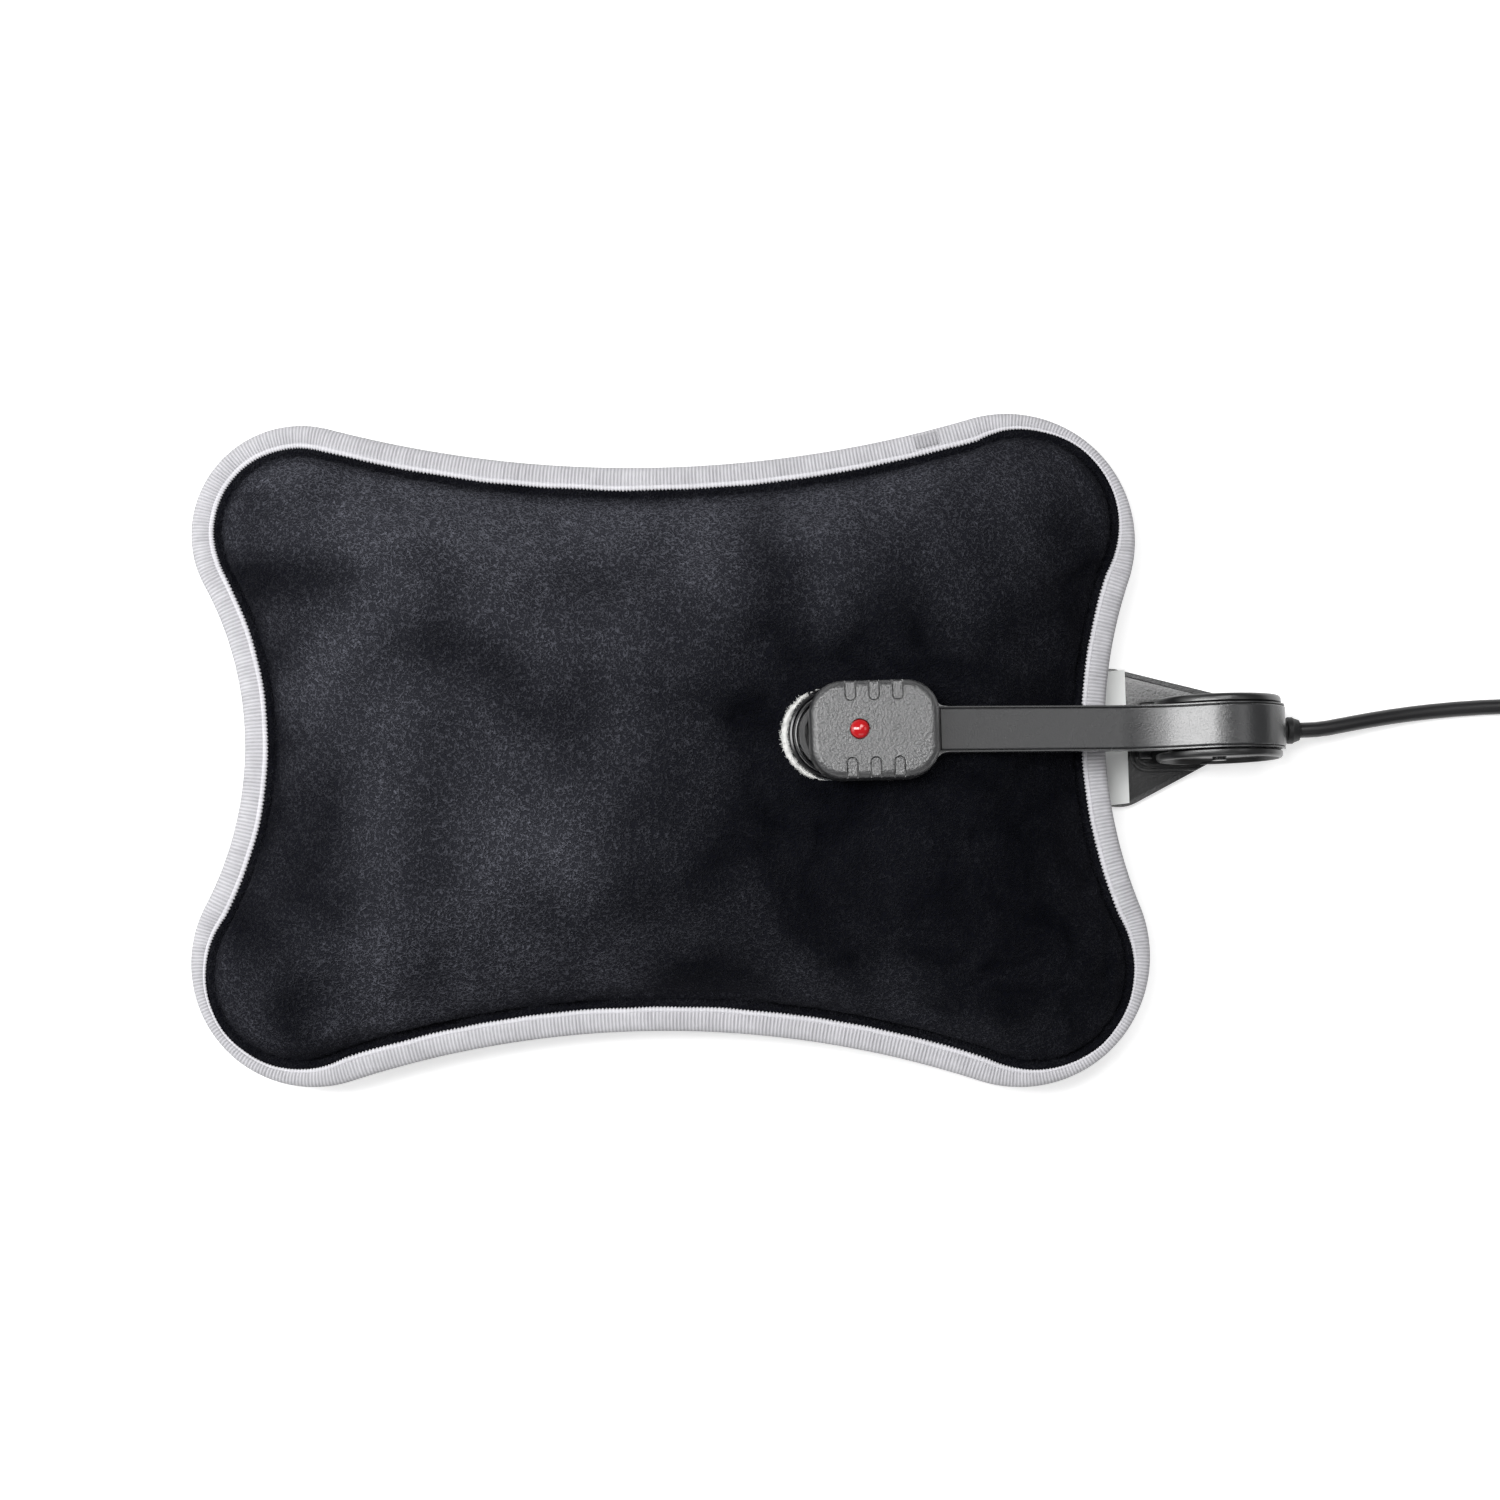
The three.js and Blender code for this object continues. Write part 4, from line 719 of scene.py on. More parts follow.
recipe("board", "Board", (0.02, 0.09, 0.04), (0.04, 0.13, 0.06), 0.5)


# Stage

CAMERA_AT = Vector((22.688, -61.685, 863.717)) * MM
CAMERA_AIM = Vector((22.69, 0.57, 16)) * MM
CAMERA_LENS = 71.93
CAMERA_SENSOR = 36
FLOOR_SIZE = 6
FLOOR_DROP = 0.0002
LIGHT_AIM = Vector((0.05, 0, 0.03))
# Name, place, width and depth in metres, and the brightness of each soft box
LIGHTS = (
    ("key", (-0.35, 0.09, 0.84), 0.74, 0.24, 13.0),
    ("top", (0.12, 0.1, 0.88), 0.12, 0.26, 4.0),
    ("wing", (-0.62, 0.0, 0.45), 0.4, 0.5, 2.0),
    ("north", (0.24, 0.32, 0.84), 0.3, 0.26, 6.0),
    ("east", (0.6, 0.06, 0.68), 0.25, 0.3, 1.3),
    ("south", (0.2, -0.62, 0.7), 0.6, 0.3, 1.0),
)
ROOM_LIGHT = 0.24
ROOM_WEST = 0.9
ROOM_EAST = 0.12
ROOM_OVERHEAD = 0.18
# The directions over which the mirrored room goes from west to east, and from its walls to overhead
ACROSS_SPAN = (-0.8, 0.2)
UPWARD_SPAN = (0.05, 0.5)
PAPER_GLOW = 0.55
# The distances in metres over which the lit paper goes over to plain white
PAPER_SPAN = (0.6, 1.3)


def aimed(place, target):
    """Looks from a place to a target, with the picture's upright side along Y."""
    back = (place - target).normalized()
    side = Vector((0, 1, 0)).cross(back).normalized()
    up = back.cross(side)
    return Matrix((
        (side.x, up.x, back.x, place.x), (side.y, up.y, back.y, place.y), (side.z, up.z, back.z, place.z),
        (0, 0, 0, 1)))


def light_world():
    """A plain level of light, mirrored as a room dim overhead, and white where it is seen."""
    world = bpy.data.worlds.new("Studio")
    bpy.context.scene.world = world
    world.use_nodes = True
    tree = world.node_tree
    back = tree.nodes["Background"].inputs
    back["Color"].default_value = (1, 1, 1, 1)
    way = tree.nodes.new("ShaderNodeTexCoord").outputs["Generated"]
    split = add_node(tree, "ShaderNodeSeparateXYZ", way).outputs
    west = stretch(tree, split["X"], ROOM_WEST, ROOM_EAST, ACROSS_SPAN)
    room = stretch(tree, split["Z"], west, ROOM_OVERHEAD, UPWARD_SPAN)
    mirrored = blend(tree, "FLOAT", rays(tree, "Is Glossy Ray"), ROOM_LIGHT, room)
    seen = rays(tree, "Is Camera Ray", "Is Transmission Ray")
    feed(tree, back["Strength"], blend(tree, "FLOAT", seen, mirrored, 1.0))


def floor_material():
    """White paper that keeps the shadow, reads white elsewhere and is seen through from below."""
    mat = bpy.data.materials.new("Floor")
    mat.use_nodes = True
    tree = mat.node_tree
    shader = tree.nodes["Principled BSDF"]
    shader.inputs["Base Color"].default_value = (0.8, 0.8, 0.8, 1)
    shader.inputs["Roughness"].default_value = 0.9
    shader.inputs["Specular IOR Level"].default_value = 0.1
    paper = shader.outputs[0]
    glow = add_node(tree, "ShaderNodeEmission", Strength=PAPER_GLOW).outputs[0]
    lit = add_node(tree, "ShaderNodeAddShader", paper, glow).outputs[0]
    white = add_node(tree, "ShaderNodeEmission", Strength=1.0).outputs[0]
    away = add_node(tree, "ShaderNodeVectorMath", position(tree), operation="LENGTH").outputs["Value"]
    far = stretch(tree, away, 0, 1, PAPER_SPAN)
    seen = rays(tree, "Is Camera Ray", "Is Glossy Ray", "Is Transmission Ray")
    above = either(tree, seen, paper, either(tree, far, lit, white))
    below = tree.nodes.new("ShaderNodeNewGeometry").outputs["Backfacing"]
    clear = tree.nodes.new("ShaderNodeBsdfTransparent").outputs[0]
    feed(tree, tree.nodes["Material Output"].inputs["Surface"], either(tree, below, above, clear))
    return mat


class BOTTLE_OT_stage(bpy.types.Operator):
    """Sets up the camera, the lights and the floor"""

    bl_idname = "bottle.stage"
    bl_label = "Stage"

    def execute(self, context):
        bpy.ops.object.camera_add(location=CAMERA_AT)
        camera = context.object
        camera.name = "camera"
        camera.matrix_world = aimed(CAMERA_AT, CAMERA_AIM)
        camera.data.lens = CAMERA_LENS
        camera.data.sensor_width = CAMERA_SENSOR
        camera.data.clip_start = 0.01
        context.scene.camera = camera

        bpy.ops.mesh.primitive_plane_add(size=FLOOR_SIZE, location=(0, 0, -FLOOR_DROP))
        floor = context.object
        floor.name = "floor"
        floor.data.materials.append(floor_material())

        for name, place, width, depth, brightness in LIGHTS:
            bpy.ops.object.light_add(type="AREA", location=place)
            light = context.object
            light.name = name
            light.data.shape = "RECTANGLE"
            light.data.size = width
            light.data.size_y = depth
            light.data.energy = brightness * math.pi * width * depth
            light.matrix_world = aimed(Vector(place), LIGHT_AIM)
        light_world()
        context.scene.view_settings.view_transform = "Standard"
        return {"FINISHED"}


# Cord

CORD_RADIUS = 2.2
CORD_HEIGHT = 9
CORD_FLOOR = 2.3
RELIEF_END = 25.1
COIL_LEAD = 13
COIL_INNER = 18.4
COIL_PITCH = 4.95
COIL_TURNS = 6.25
TURN_STEPS = 32
TAIL = 24
TAIL_STEPS = 4
# Along and across from the sleeve's end, and the share of the drop to the floor
CORD_POINTS = (
    (0, 0, 0), (2.1, 0.06, 0), (4.5, 0.19, 0.015), (7.9, 0.64, 0.06), (11.9, 1.44, 0.15),
    (16.4, 2.34, 0.285), (21.4, 3.29, 0.45), (26.9, 4.24, 0.627), (32.9, 5.14, 0.79),
    (38.9, 5.89, 0.91), (45.9, 6.59, 0.978), (53.9, 7.14, 0.997), (62.9, 7.49, 1), (71.9, 7.69, 1),
    (80.9, 7.79, 1), (87.9, 7.84, 1),
)


def cord_route():
    """The whole cord from the sleeve's end to the plug, in millimetres."""
    exit_at = CLAMP @ Vector((RELIEF_END + GAP, 0, CORD_HEIGHT))
    points = [
        Vector((exit_at.x + x, exit_at.y + y, CORD_HEIGHT + drop * (CORD_FLOOR - CORD_HEIGHT)))
        for x, y, drop in CORD_POINTS
    ]
    outer = COIL_INNER + COIL_PITCH * COIL_TURNS / 2
    centre = Vector((points[-1].x + COIL_LEAD, points[-1].y - outer))
    points[-1].y = centre.y + outer
    points.append(Vector((centre.x - CORD_RADIUS, centre.y + outer, CORD_FLOOR)))
    half = COIL_TURNS * math.pi
    steps = int(COIL_TURNS * TURN_STEPS)
    for step in range(steps + 1):
        swept = 2 * half * step / steps
        radius = COIL_INNER + COIL_PITCH * abs(swept - half) / math.tau
        climb = ease(portion(swept - half + math.pi / 2, math.pi))
        angle = math.pi / 2 - swept
        points.append(Vector((centre.x + radius * math.cos(angle), centre.y + radius * math.sin(angle),
                              CORD_FLOOR + COIL_PITCH * climb)))
    way = (points[-1] - points[-2]).normalized()
    way.z = 0
    for _ in range(TAIL_STEPS):
        points.append(points[-1] + way * TAIL / TAIL_STEPS)
    return points


class BOTTLE_OT_cord(bpy.types.Operator):
    """Makes the cord with its coil"""

    bl_idname = "bottle.cord"
    bl_label = "Cord"

    def execute(self, context):
        points = cord_route()
        data = bpy.data.curves.new("mains_cord", "CURVE")
        data.dimensions = "3D"
        data.bevel_depth = looks().cord_diameter / 2
        data.bevel_resolution = 4
        data.use_fill_caps = True
        spline = data.splines.new("POLY")
        spline.points.add(len(points) - 1)
        for spot, point in zip(spline.points, points):
            spot.co = (*(point * MM), 1)
        spline.use_smooth = True
        obj = bpy.data.objects.new("mains_cord", data)
        context.collection.objects.link(obj)
        data.materials.append(paint("jacket"))
        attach(obj, BAG)
        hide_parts("cord", "cord_coil")
        return {"FINISHED"}


# Covers

HEM_WIDTH = 2.8
HEM_THICKNESS = 1.8
HEM_START = 0.95
HEM_HALF = 2.4
HEM_TUCK = 1.2
HEM_TURN = 0.9
HEM_EDGE = 0.4
HEM_FLAT = 1.5
HEM_FALL = 1.6
HEM_PILE = 0.4
# How light the pile is along the hem: darker nap and painted shade in the crease by the trim
HEM_NAP_AND_SHADE = 0.04
CREASE = 1.1
DOME_SPREAD = 2.6
DOME_FULLNESS = 0.62
FORM_STEPS = 240
FORM_RINGS = 96
BELLY = 1.3
REMESH_SIZE = 2.8
SWELL = 3
SWELL_BELOW = 0.5
FLOOR_CLEAR = 0.05
SEAM_HOLD = 3
PORT_HOLD = 0.8
FLOOR_HOLD = 0.8
CLOTH_FRAMES = 20
# How fine and how high the cloth's unevenness is, from its curls to its broad waves
CURL_FINENESS = 0.42
LUMP_FINENESS = 0.09
LUMP_HEIGHT = 0.25
WAVE_FINENESS = 0.028
WAVE_HEIGHT = 0.5
UNDER_LEVEL = 0.6
UNDER_MOST = 0.2
# Middle, spread and strength of the places where the pile is painted darker, or lighter where the strength is
# below zero: painted shadow round the head and south of the arm, and other darker and lighter places
NAP_AND_SHADOW_DROPS = (
    ((44, -6), 28, 0.24), ((92, -14), 36, 0.42), ((-121, 44), 22, 0.75), ((-116, 2), 24, 0.4),
    ((98, 66), 30, 0.22), ((-8, 37), 20, 0.12), ((-26, -34), 30, -0.24), ((-90, 62), 16, -0.22),
    ((-84, -62), 12, -0.25), ((-104, -66), 17, 0.4),
)
NAP_HALF_LENGTH = 130
NAP_HALF_WIDTH = 90


def cover_form():
    """A closed pillow over the bag's outline, from a sphere moved point by point."""
    inner = [(place - out * (width + GAP + HEM_WIDTH), out) for place, out, width in outline()]
    foot = evenly(inner, FORM_STEPS)
    bpy.ops.mesh.primitive_uv_sphere_add(segments=FORM_STEPS, ring_count=FORM_RINGS, radius=1)
    obj = bpy.context.object
    rename(obj, "cover_form")
    for v in obj.data.vertices:
        x, y, z = v.co
        way = 1 if z >= 0 else -1
        reach = min(math.hypot(x, y), 1)
        share = min(reach / HEM_START, 1)
        spot, out = foot[round(math.atan2(y, x) / math.tau * FORM_STEPS) % FORM_STEPS]
        spot = spot * share
        dome = max(1 - share ** DOME_SPREAD, 0) ** DOME_FULLNESS
        if reach > HEM_START:
            past = (reach - HEM_START) / (1 - HEM_START)
            spot = spot + out * (HEM_WIDTH + HEM_TUCK) * past
            height = SEAM + way * HEM_HALF * (past < HEM_TURN)
        elif way > 0:
            height = SEAM + HEM_HALF + (BAG_HEIGHT - SEAM - HEM_HALF) * dome
            height += (PORT_LEVEL - height) * port_share(*spot)
        else:
            height = max(floor_under(*spot), SEAM - HEM_HALF - (SEAM * BELLY - HEM_HALF) * dome)
        v.co = (*spot, height)
    return obj


def simulate(obj):
    """Blows the form up a little as cloth held at its seam, then limits how far it moved."""
    rest = [v.co.copy() for v in obj.data.vertices]
    normals = [v.normal.copy() for v in obj.data.vertices]
    hold = obj.vertex_groups.new(name="hold")
    for v in obj.data.vertices:
        held = abs(v.co.z - SEAM) < SEAM_HOLD or port_share(v.co.x, v.co.y) > PORT_HOLD
        hold.add([v.index], 1 if held or v.co.z < FLOOR_HOLD else 0, "REPLACE")
    obj.data.transform(Matrix.Scale(MM, 4))
    cloth = obj.modifiers.new("Cloth", "CLOTH")
    cloth.settings.vertex_group_mass = hold.name
    cloth.settings.use_pressure = True
    cloth.settings.uniform_pressure_force = 4
    cloth.settings.shrink_min = -0.02
    cloth.settings.quality = 6
    cloth.settings.effector_weights.gravity = 0
    cloth.point_cache.frame_start = 1
    cloth.point_cache.frame_end = CLOTH_FRAMES
    for step in range(CLOTH_FRAMES):
        bpy.context.scene.frame_set(step + 1)
    only(obj)
    bpy.ops.object.modifier_apply(modifier=cloth.name)
    bpy.context.scene.frame_set(1)
    obj.data.transform(Matrix.Scale(1 / MM, 4))
    for v, before, normal in zip(obj.data.vertices, rest, normals):
        move = min(max((v.co - before).dot(normal), -SWELL / 3), SWELL)
        v.co = before + normal * (move if before.z > SEAM else min(move, SWELL_BELOW))
    obj.vertex_groups.clear()


def edge_finder(points):
    """Tells how far inside the trim's inner edge a place lies."""
    tree = KDTree(len(points))
    for k, (place, out, width) in enumerate(points):
        tree.insert((*(place - out * width), 0), k)
    tree.balance()

    def find(x, y):
        spot, k, _ = tree.find((x, y, 0))
        out = points[k][1]
        return (spot.x - x) * out.x + (spot.y - y) * out.y
    return find


def rim_show(x, y):
    """How much of the opening's pale edge the pile leaves bare, about the port's centre."""
    west = portion(-9 - x, 10) ** 1.2
    return 0.05 + 1.7 * west * (1 - (0.5 if y > 0 else 0.35) * portion(abs(y), 11))


def nap_and_light_share(x, y, inside):
    """How light the pile is painted: painted light, lighter towards the far left and the top where the lamps
    fall, painted shadow round the port's head and south of the arm, darker nap with painted shade in the
    crease along the hem, and random patches of nap.
    """
    u = x / NAP_HALF_LENGTH
    v = y / NAP_HALF_WIDTH
    # Painted light: lighter towards the left and the top, where the lamps fall, darker to the right and the
    # bottom; the noise patches are the nap's own
    broad = 0.28 - 0.35 * u + 0.29 * v + 0.32 * v ** 2 - 0.14 * u * v
    patches = 0.6 * noise.noise(Vector((x, y, 40)) * 0.02) + 0.5 * noise.noise(Vector((x, y, 90)) * 0.055)
    broad += patches * (0.3 + max(broad, 0))
    # Painted shadow round the head and south of the arm, and other darker and lighter places
    for centre, spread, drop in NAP_AND_SHADOW_DROPS:
        away = (Vector((x, y)) - Vector(centre)).length
        broad -= drop * math.exp(-(away / spread) ** 2)
    # Darker nap and painted shade in the crease along the hem
    hem = portion(inside - 2, 5)
    return portion(broad, 1) * hem + HEM_NAP_AND_SHADE * (1 - hem)


def add_attribute(obj, name, values):
    made = obj.data.attributes.new(name, "FLOAT", "POINT")
    made.data.foreach_set("value", values)


class BOTTLE_OT_covers(bpy.types.Operator):
    """Makes the two plush panels"""

    bl_idname = "bottle.covers"
    bl_label = "Plush covers"

    def execute(self, context):
        form = cover_form()
        form.data.remesh_voxel_size = REMESH_SIZE
        only(form)
        bpy.ops.object.voxel_remesh()
        simulate(form)
        only(form)
        bpy.ops.object.duplicate()
        lower = context.object
        for obj, top in ((form, True), (lower, False)):
            edit(obj, lambda: bpy.ops.mesh.bisect(
                plane_co=(0, 0, SEAM), plane_no=(0, 0, 1), clear_inner=top, clear_outer=not top))
        self.raise_pile(form, 2, True)
        self.raise_pile(lower, 1, False)
        rename(form, "plush_top")
        rename(lower, "plush_bottom")
        settle(form, WORLD, BAG, "plush", "plush", "cover_top")
        settle(lower, WORLD, BAG, "plush", "plush", "cover_bottom")
        return {"FINISHED"}

    def raise_pile(self, obj, levels, top):
        """Gives the cloth its clumps and its flat hem, paints its nap together with painted light, shadow and
        shade, and opens the port.
        """
        apply(obj, "SUBSURF", levels=levels, render_levels=levels)
        find = edge_finder(evenly(outline(), 1200))
        normals = [v.normal.copy() for v in obj.data.vertices]
        height = looks().pile / MM
        way = 1 if top else -1
        light_and_nap_shares = []
        for v, normal in zip(obj.data.vertices, normals):
            inside = find(v.co.x, v.co.y)
            ridge = 1 - abs(noise.noise(v.co * CURL_FINENESS)) * 2.6
            lump = LUMP_HEIGHT * noise.noise(v.co * LUMP_FINENESS + Vector((7, 3, 1)))
            wave = WAVE_HEIGHT * noise.noise(v.co * WAVE_FINENESS + Vector((3, 9, 4)))
            move = height * ridge + lump * portion(inside, 10) + wave * portion(inside, 20)
            if inside < GAP:
                v.co.z = SEAM + way * HEM_EDGE
            elif inside < HEM_WIDTH + GAP:
                lay = HEM_THICKNESS + (CREASE - HEM_THICKNESS) * max((inside - HEM_FLAT) / HEM_FALL, 0)
                v.co.z = SEAM + way * (lay + HEM_PILE * height * ridge)
            elif top:
                v.co += normal * move
            elif v.co.z > UNDER_LEVEL:
                v.co += normal * min(move, UNDER_MOST)
            v.co.z = max(v.co.z, FLOOR_CLEAR)
            light_and_nap_shares.append(nap_and_light_share(v.co.x, v.co.y, inside))
        # The nap attribute carries painted light and shade besides the nap itself
        add_attribute(obj, "nap", light_and_nap_shares)
        if top:
            back = PORT.inverted()

            def inside_port(face):
                here = back @ face.calc_center_median()
                return port_distance(here) < PORT_WIDTH / 2 + GAP + rim_show(here.x, here.y)
            edit_some(obj, "FACE", inside_port, lambda: bpy.ops.mesh.delete(type="FACE"))
        smooth(obj, 180)


# Trim

# Share of the width from the inner edge, and share of the half height
TRIM_SHAPE = ((0.02, 0.1), (0.06, 0.72), (0.2, 1), (0.42, 0.98), (0.66, 0.92), (0.86, 0.66), (1, 0.1),
              (0.92, -0.6), (0.7, -0.92), (0.3, -1), (0.05, -0.7))
BEAD_SHAPE = ((0.9, 0), (0.55, 0.7), (0, 0.95), (-0.6, 0.62), (-0.95, 0), (-0.4, -0.7), (0.5, -0.7))
TRIM_HALF = BINDING_HEIGHT / 2
RIB_STEPS = 4
RIB_RISE = 0.17
LAP_AT = Vector((73.5, 88.5))
LAP_RIBS = (3, 4)
LAP_WIDTH_SHARE = 0.74
LAP_INSET = 0.6
BEAD_LEVEL = 1.75


def swing(k):
    """One on the crest of a rib, and minus one between two ribs."""
    return math.cos(math.tau * (k % RIB_STEPS) / RIB_STEPS)


def mark_rib_shade(obj, rows, shape, strength=1):
    """Tells the material how near a rib's crest each point of the shape's rows lies, so that the grooves
    between ribs are painted darker as painted shade and the crests lighter.
    """
    crest_light = [strength * (0.5 + 0.5 * swing(k)) for k in range(rows)]
    add_attribute(obj, "rib", [crest for crest in crest_light for _ in shape])


class BOTTLE_OT_trim(bpy.types.Operator):
    """Makes the ribbed trim round the bag's edge"""

    bl_idname = "bottle.trim"
    bl_label = "Edge trim"

    def execute(self, context):
        path = outline(80)
        ribs = round(path_length(path) * MM / looks().rib_pitch)
        points = evenly(path, ribs * RIB_STEPS)
        self.add_strip(points)
        self.add_lap(points)
        self.add_ridge(points)
        return {"FINISHED"}

    def add_strip(self, points):
        def ridged(k):
            width = points[k][2]
            rise = RIB_RISE * swing(k) + 0.1 * noise.noise(Vector((k * 0.31, 2, 5)))
            return [((share - 1) * width * (1 + 0.012 * (share > 0.5) * swing(k)),
                     up * TRIM_HALF + rise * (1 if up > 0 else -1) * (abs(up) > 0.3))
                    for share, up in TRIM_SHAPE]
        strip = band("edge_trim", points, ridged, SEAM)
        mark_rib_shade(strip, len(points), TRIM_SHAPE)
        smooth(strip, 60)
        settle(strip, WORLD, BAG, "trim", "trim", "edge_binding")

    def add_lap(self, points):
        """The short stretch where the strip's end lies over its start."""
        middle = min(range(len(points)), key=lambda k: (points[k][0] - LAP_AT).length)
        before, after = LAP_RIBS
        rings = []
        for k in range(middle - before * RIB_STEPS, middle + after * RIB_STEPS):
            place, out, width = points[k]
            lift = 0.5 + 0.2 * swing(k)
            ring = []
            for share, up in TRIM_SHAPE:
                spot = place + out * ((share - 1) * width * LAP_WIDTH_SHARE - LAP_INSET)
                ring.append((*spot, SEAM + max(up * TRIM_HALF + (lift if up > 0 else 0), 0.4)))
            rings.append(ring)
        lap = loft("trim_lap", rings, closed=False)
        # A low strength paints the whole lap darker
        mark_rib_shade(lap, len(rings), TRIM_SHAPE, 0.2)
        smooth(lap, 50)
        settle(lap, WORLD, BAG, "trim", "trim", "edge_binding")

    def add_ridge(self, points):
        """The toothed bead along the inner edge."""
        def toothed(k):
            phase = abs((k % RIB_STEPS) / RIB_STEPS - 0.5) * 2
            width = points[k][2]
            full = (width / BINDING_WIDTH) ** 1.5
            inner = -width + 0.5 * full + 0.25 * noise.noise(Vector((k * 0.02, 8, 1)))
            tooth = 0.42 * phase * full + 0.12 * noise.noise(Vector((k * 0.7, 1, 3)))
            size = 0.15 + (0.56 + 0.08 * phase) * full
            return [(inner + out * size - (tooth if out < 0 else 0), BEAD_LEVEL + up * size)
                    for out, up in BEAD_SHAPE]
        ridge = band("trim_ridge", points, toothed, SEAM)
        mark_rib_shade(ridge, len(points), BEAD_SHAPE)
        smooth(ridge, 60)
        # The bead's paler material includes a painted highlight
        settle(ridge, WORLD, BAG, "trim", "trim_bead_and_highlight", "edge_binding")


# Port

# Out from the port's edge, and down from the lip's top
LIP_PROFILE = (
    (-2.4, 4.2), (-2.4, 1.1), (-2.05, 0.75), (-1.75, 0.8), (-1.6, 1.2), (-1.35, 1.2), (-1.2, 0.35),
    (-0.8, 0), (-0.35, 0.1), (-0.05, 0.6), (0, 1.2), (0, 4.2),
)
# Share of the bare edge's width, and the height
FLUFF_PROFILE = ((0, 40.6), (0.02, 43.1), (0.2, 43.7), (0.5, 43.75), (0.8, 43.4), (1, 42.7), (1, 40.6))
FLUFF_FOOT = 41
FLUFF_SPARE = 0.4
FIBRES = 5200
FIBRE_SIDES = 3
FIBRE_BEND = 0.25


class BOTTLE_OT_port(bpy.types.Operator):
    """Makes the oval port's lip and the fluffy edge of its opening"""

    bl_idname = "bottle.port"
    bl_label = "Port"

    def execute(self, context):
        lip = band("port_rim", evenly(stadium(PORT_WIDTH / 2), 160),
                   [(out, LIP_TOP - down) for out, down in LIP_PROFILE])
        smooth(lip, 35)
        settle(lip, PORT, BAG, "black_plastic", "black", "port_lip")

        path = evenly(stadium(PORT_WIDTH / 2 + GAP), 220)

        def fuzzy(k):
            show = rim_show(*path[k][0])
            sink = 1.5 * (1 - min(show / 0.6, 1))
            ring = []
            for share, up in FLUFF_PROFILE:
                stray = 0.2 * noise.noise(Vector((k * 0.5, up, 1))) if share else 0
                lift = 0.3 * noise.noise(Vector((k * 0.6, share * 5, 7))) - sink if up > FLUFF_FOOT else 0
                ring.append((share * (show + FLUFF_SPARE) + stray, up + lift))
            return ring
        edge = band("opening_edge", path, fuzzy)
        join(edge, self.fibres(path))
        smooth(edge, 60)
        settle(edge, PORT, BAG, "fluff", "fluff", "opening_rim")
        return {"FINISHED"}

    def fibres(self, path):
        """Short bent fibres standing out of the opening's edge."""
        rng = random.Random(4)
        mesh = bmesh.new()
        for _ in range(FIBRES):
            place, out = path[rng.randrange(len(path))][:2]
            side = Vector((-out.y, out.x))
            lean = rng.uniform(-1, 1)
            show = rim_show(*place)
            if show < 0.5:
                continue
            root = place + out * rng.uniform(0.15, show + 0.2) + side * rng.uniform(-0.5, 0.5)
            base = Vector((root.x, root.y, rng.uniform(42.9, 43.5)))
            length = rng.uniform(0.5, 1.15)
            flat = out * lean + side * rng.uniform(-0.8, 0.8)
            way = Vector((flat.x, flat.y, rng.uniform(0.2, 0.9))).normalized()
            bend = Vector((rng.uniform(-1, 1), rng.uniform(-1, 1), -0.4)) * FIBRE_BEND
            across = way.orthogonal().normalized()
            thick = rng.uniform(0.07, 0.12)
            turns = [Matrix.Rotation(math.tau * n / FIBRE_SIDES, 3, way) @ across for n in range(FIBRE_SIDES)]
            rings = []
            for share, wide in ((0, 1), (0.55, 0.8)):
                middle = base + way * length * share + bend * share * share
                rings.append([mesh.verts.new(middle + turn * thick * wide) for turn in turns])
            tip = mesh.verts.new(base + way * length + bend)
            for n in range(FIBRE_SIDES):
                m = (n + 1) % FIBRE_SIDES
                mesh.faces.new((rings[0][n], rings[0][m], rings[1][m], rings[1][n]))
                mesh.faces.new((rings[1][n], rings[1][m], tip))
        return object_from(mesh, "fibres")


# Head

ROOF = 3.4
SHELL_WALL = 1.8
SHELL_FLOOR = 2
CROWN_ROUND = 2.3
TRAY_ROUND = 1.2
SLOT_PITCH = 6.4
SLOT_LENGTH = 5.8
SLOT_HALF = 1.6
SLOT_DEPTH = 1.7
TAB_HALF = 1.18
TAB_GAP = 0.42
TAB_DROP = 0.5
OVERRUN = 3
LENS_X = HEAD_X - 4.1
LENS_RADIUS = 2.6
LENS_HOLE = 2.85
LENS_FLANGE = 3.2
FLANGE_HEIGHT = 0.8
LENS_SINK = 0.1
LENS_DOME = 1.4
LENS_STEPS = 12
BOSS_RADIUS = 6.1
# Out from the boss's side, and the height
BOSS_RINGS = ((-0.6, 34.2), (0, 34.8), (0, 45.2))


def head_block(name, bottom, top, inset=0):
    along = HEAD_LENGTH / 2 - inset
    across = HEAD_WIDTH / 2 - inset
    size = (HEAD_X - along, HEAD_X + along, -across, across, bottom, top)
    return rounded_block(name, size, HEAD_CORNER - inset, 12)


def round_ended(name, x, half, inner, outer, bottom, top):
    """An upright bar across the head with a round inner end."""
    obj = block(name, x - half, x + half, min(inner, outer), max(inner, outer), bottom, top)
    bevel(obj, lambda e: upright(e) and abs(e.verts[0].co.y - inner) < 0.1, half - 0.01, 8)
    return obj


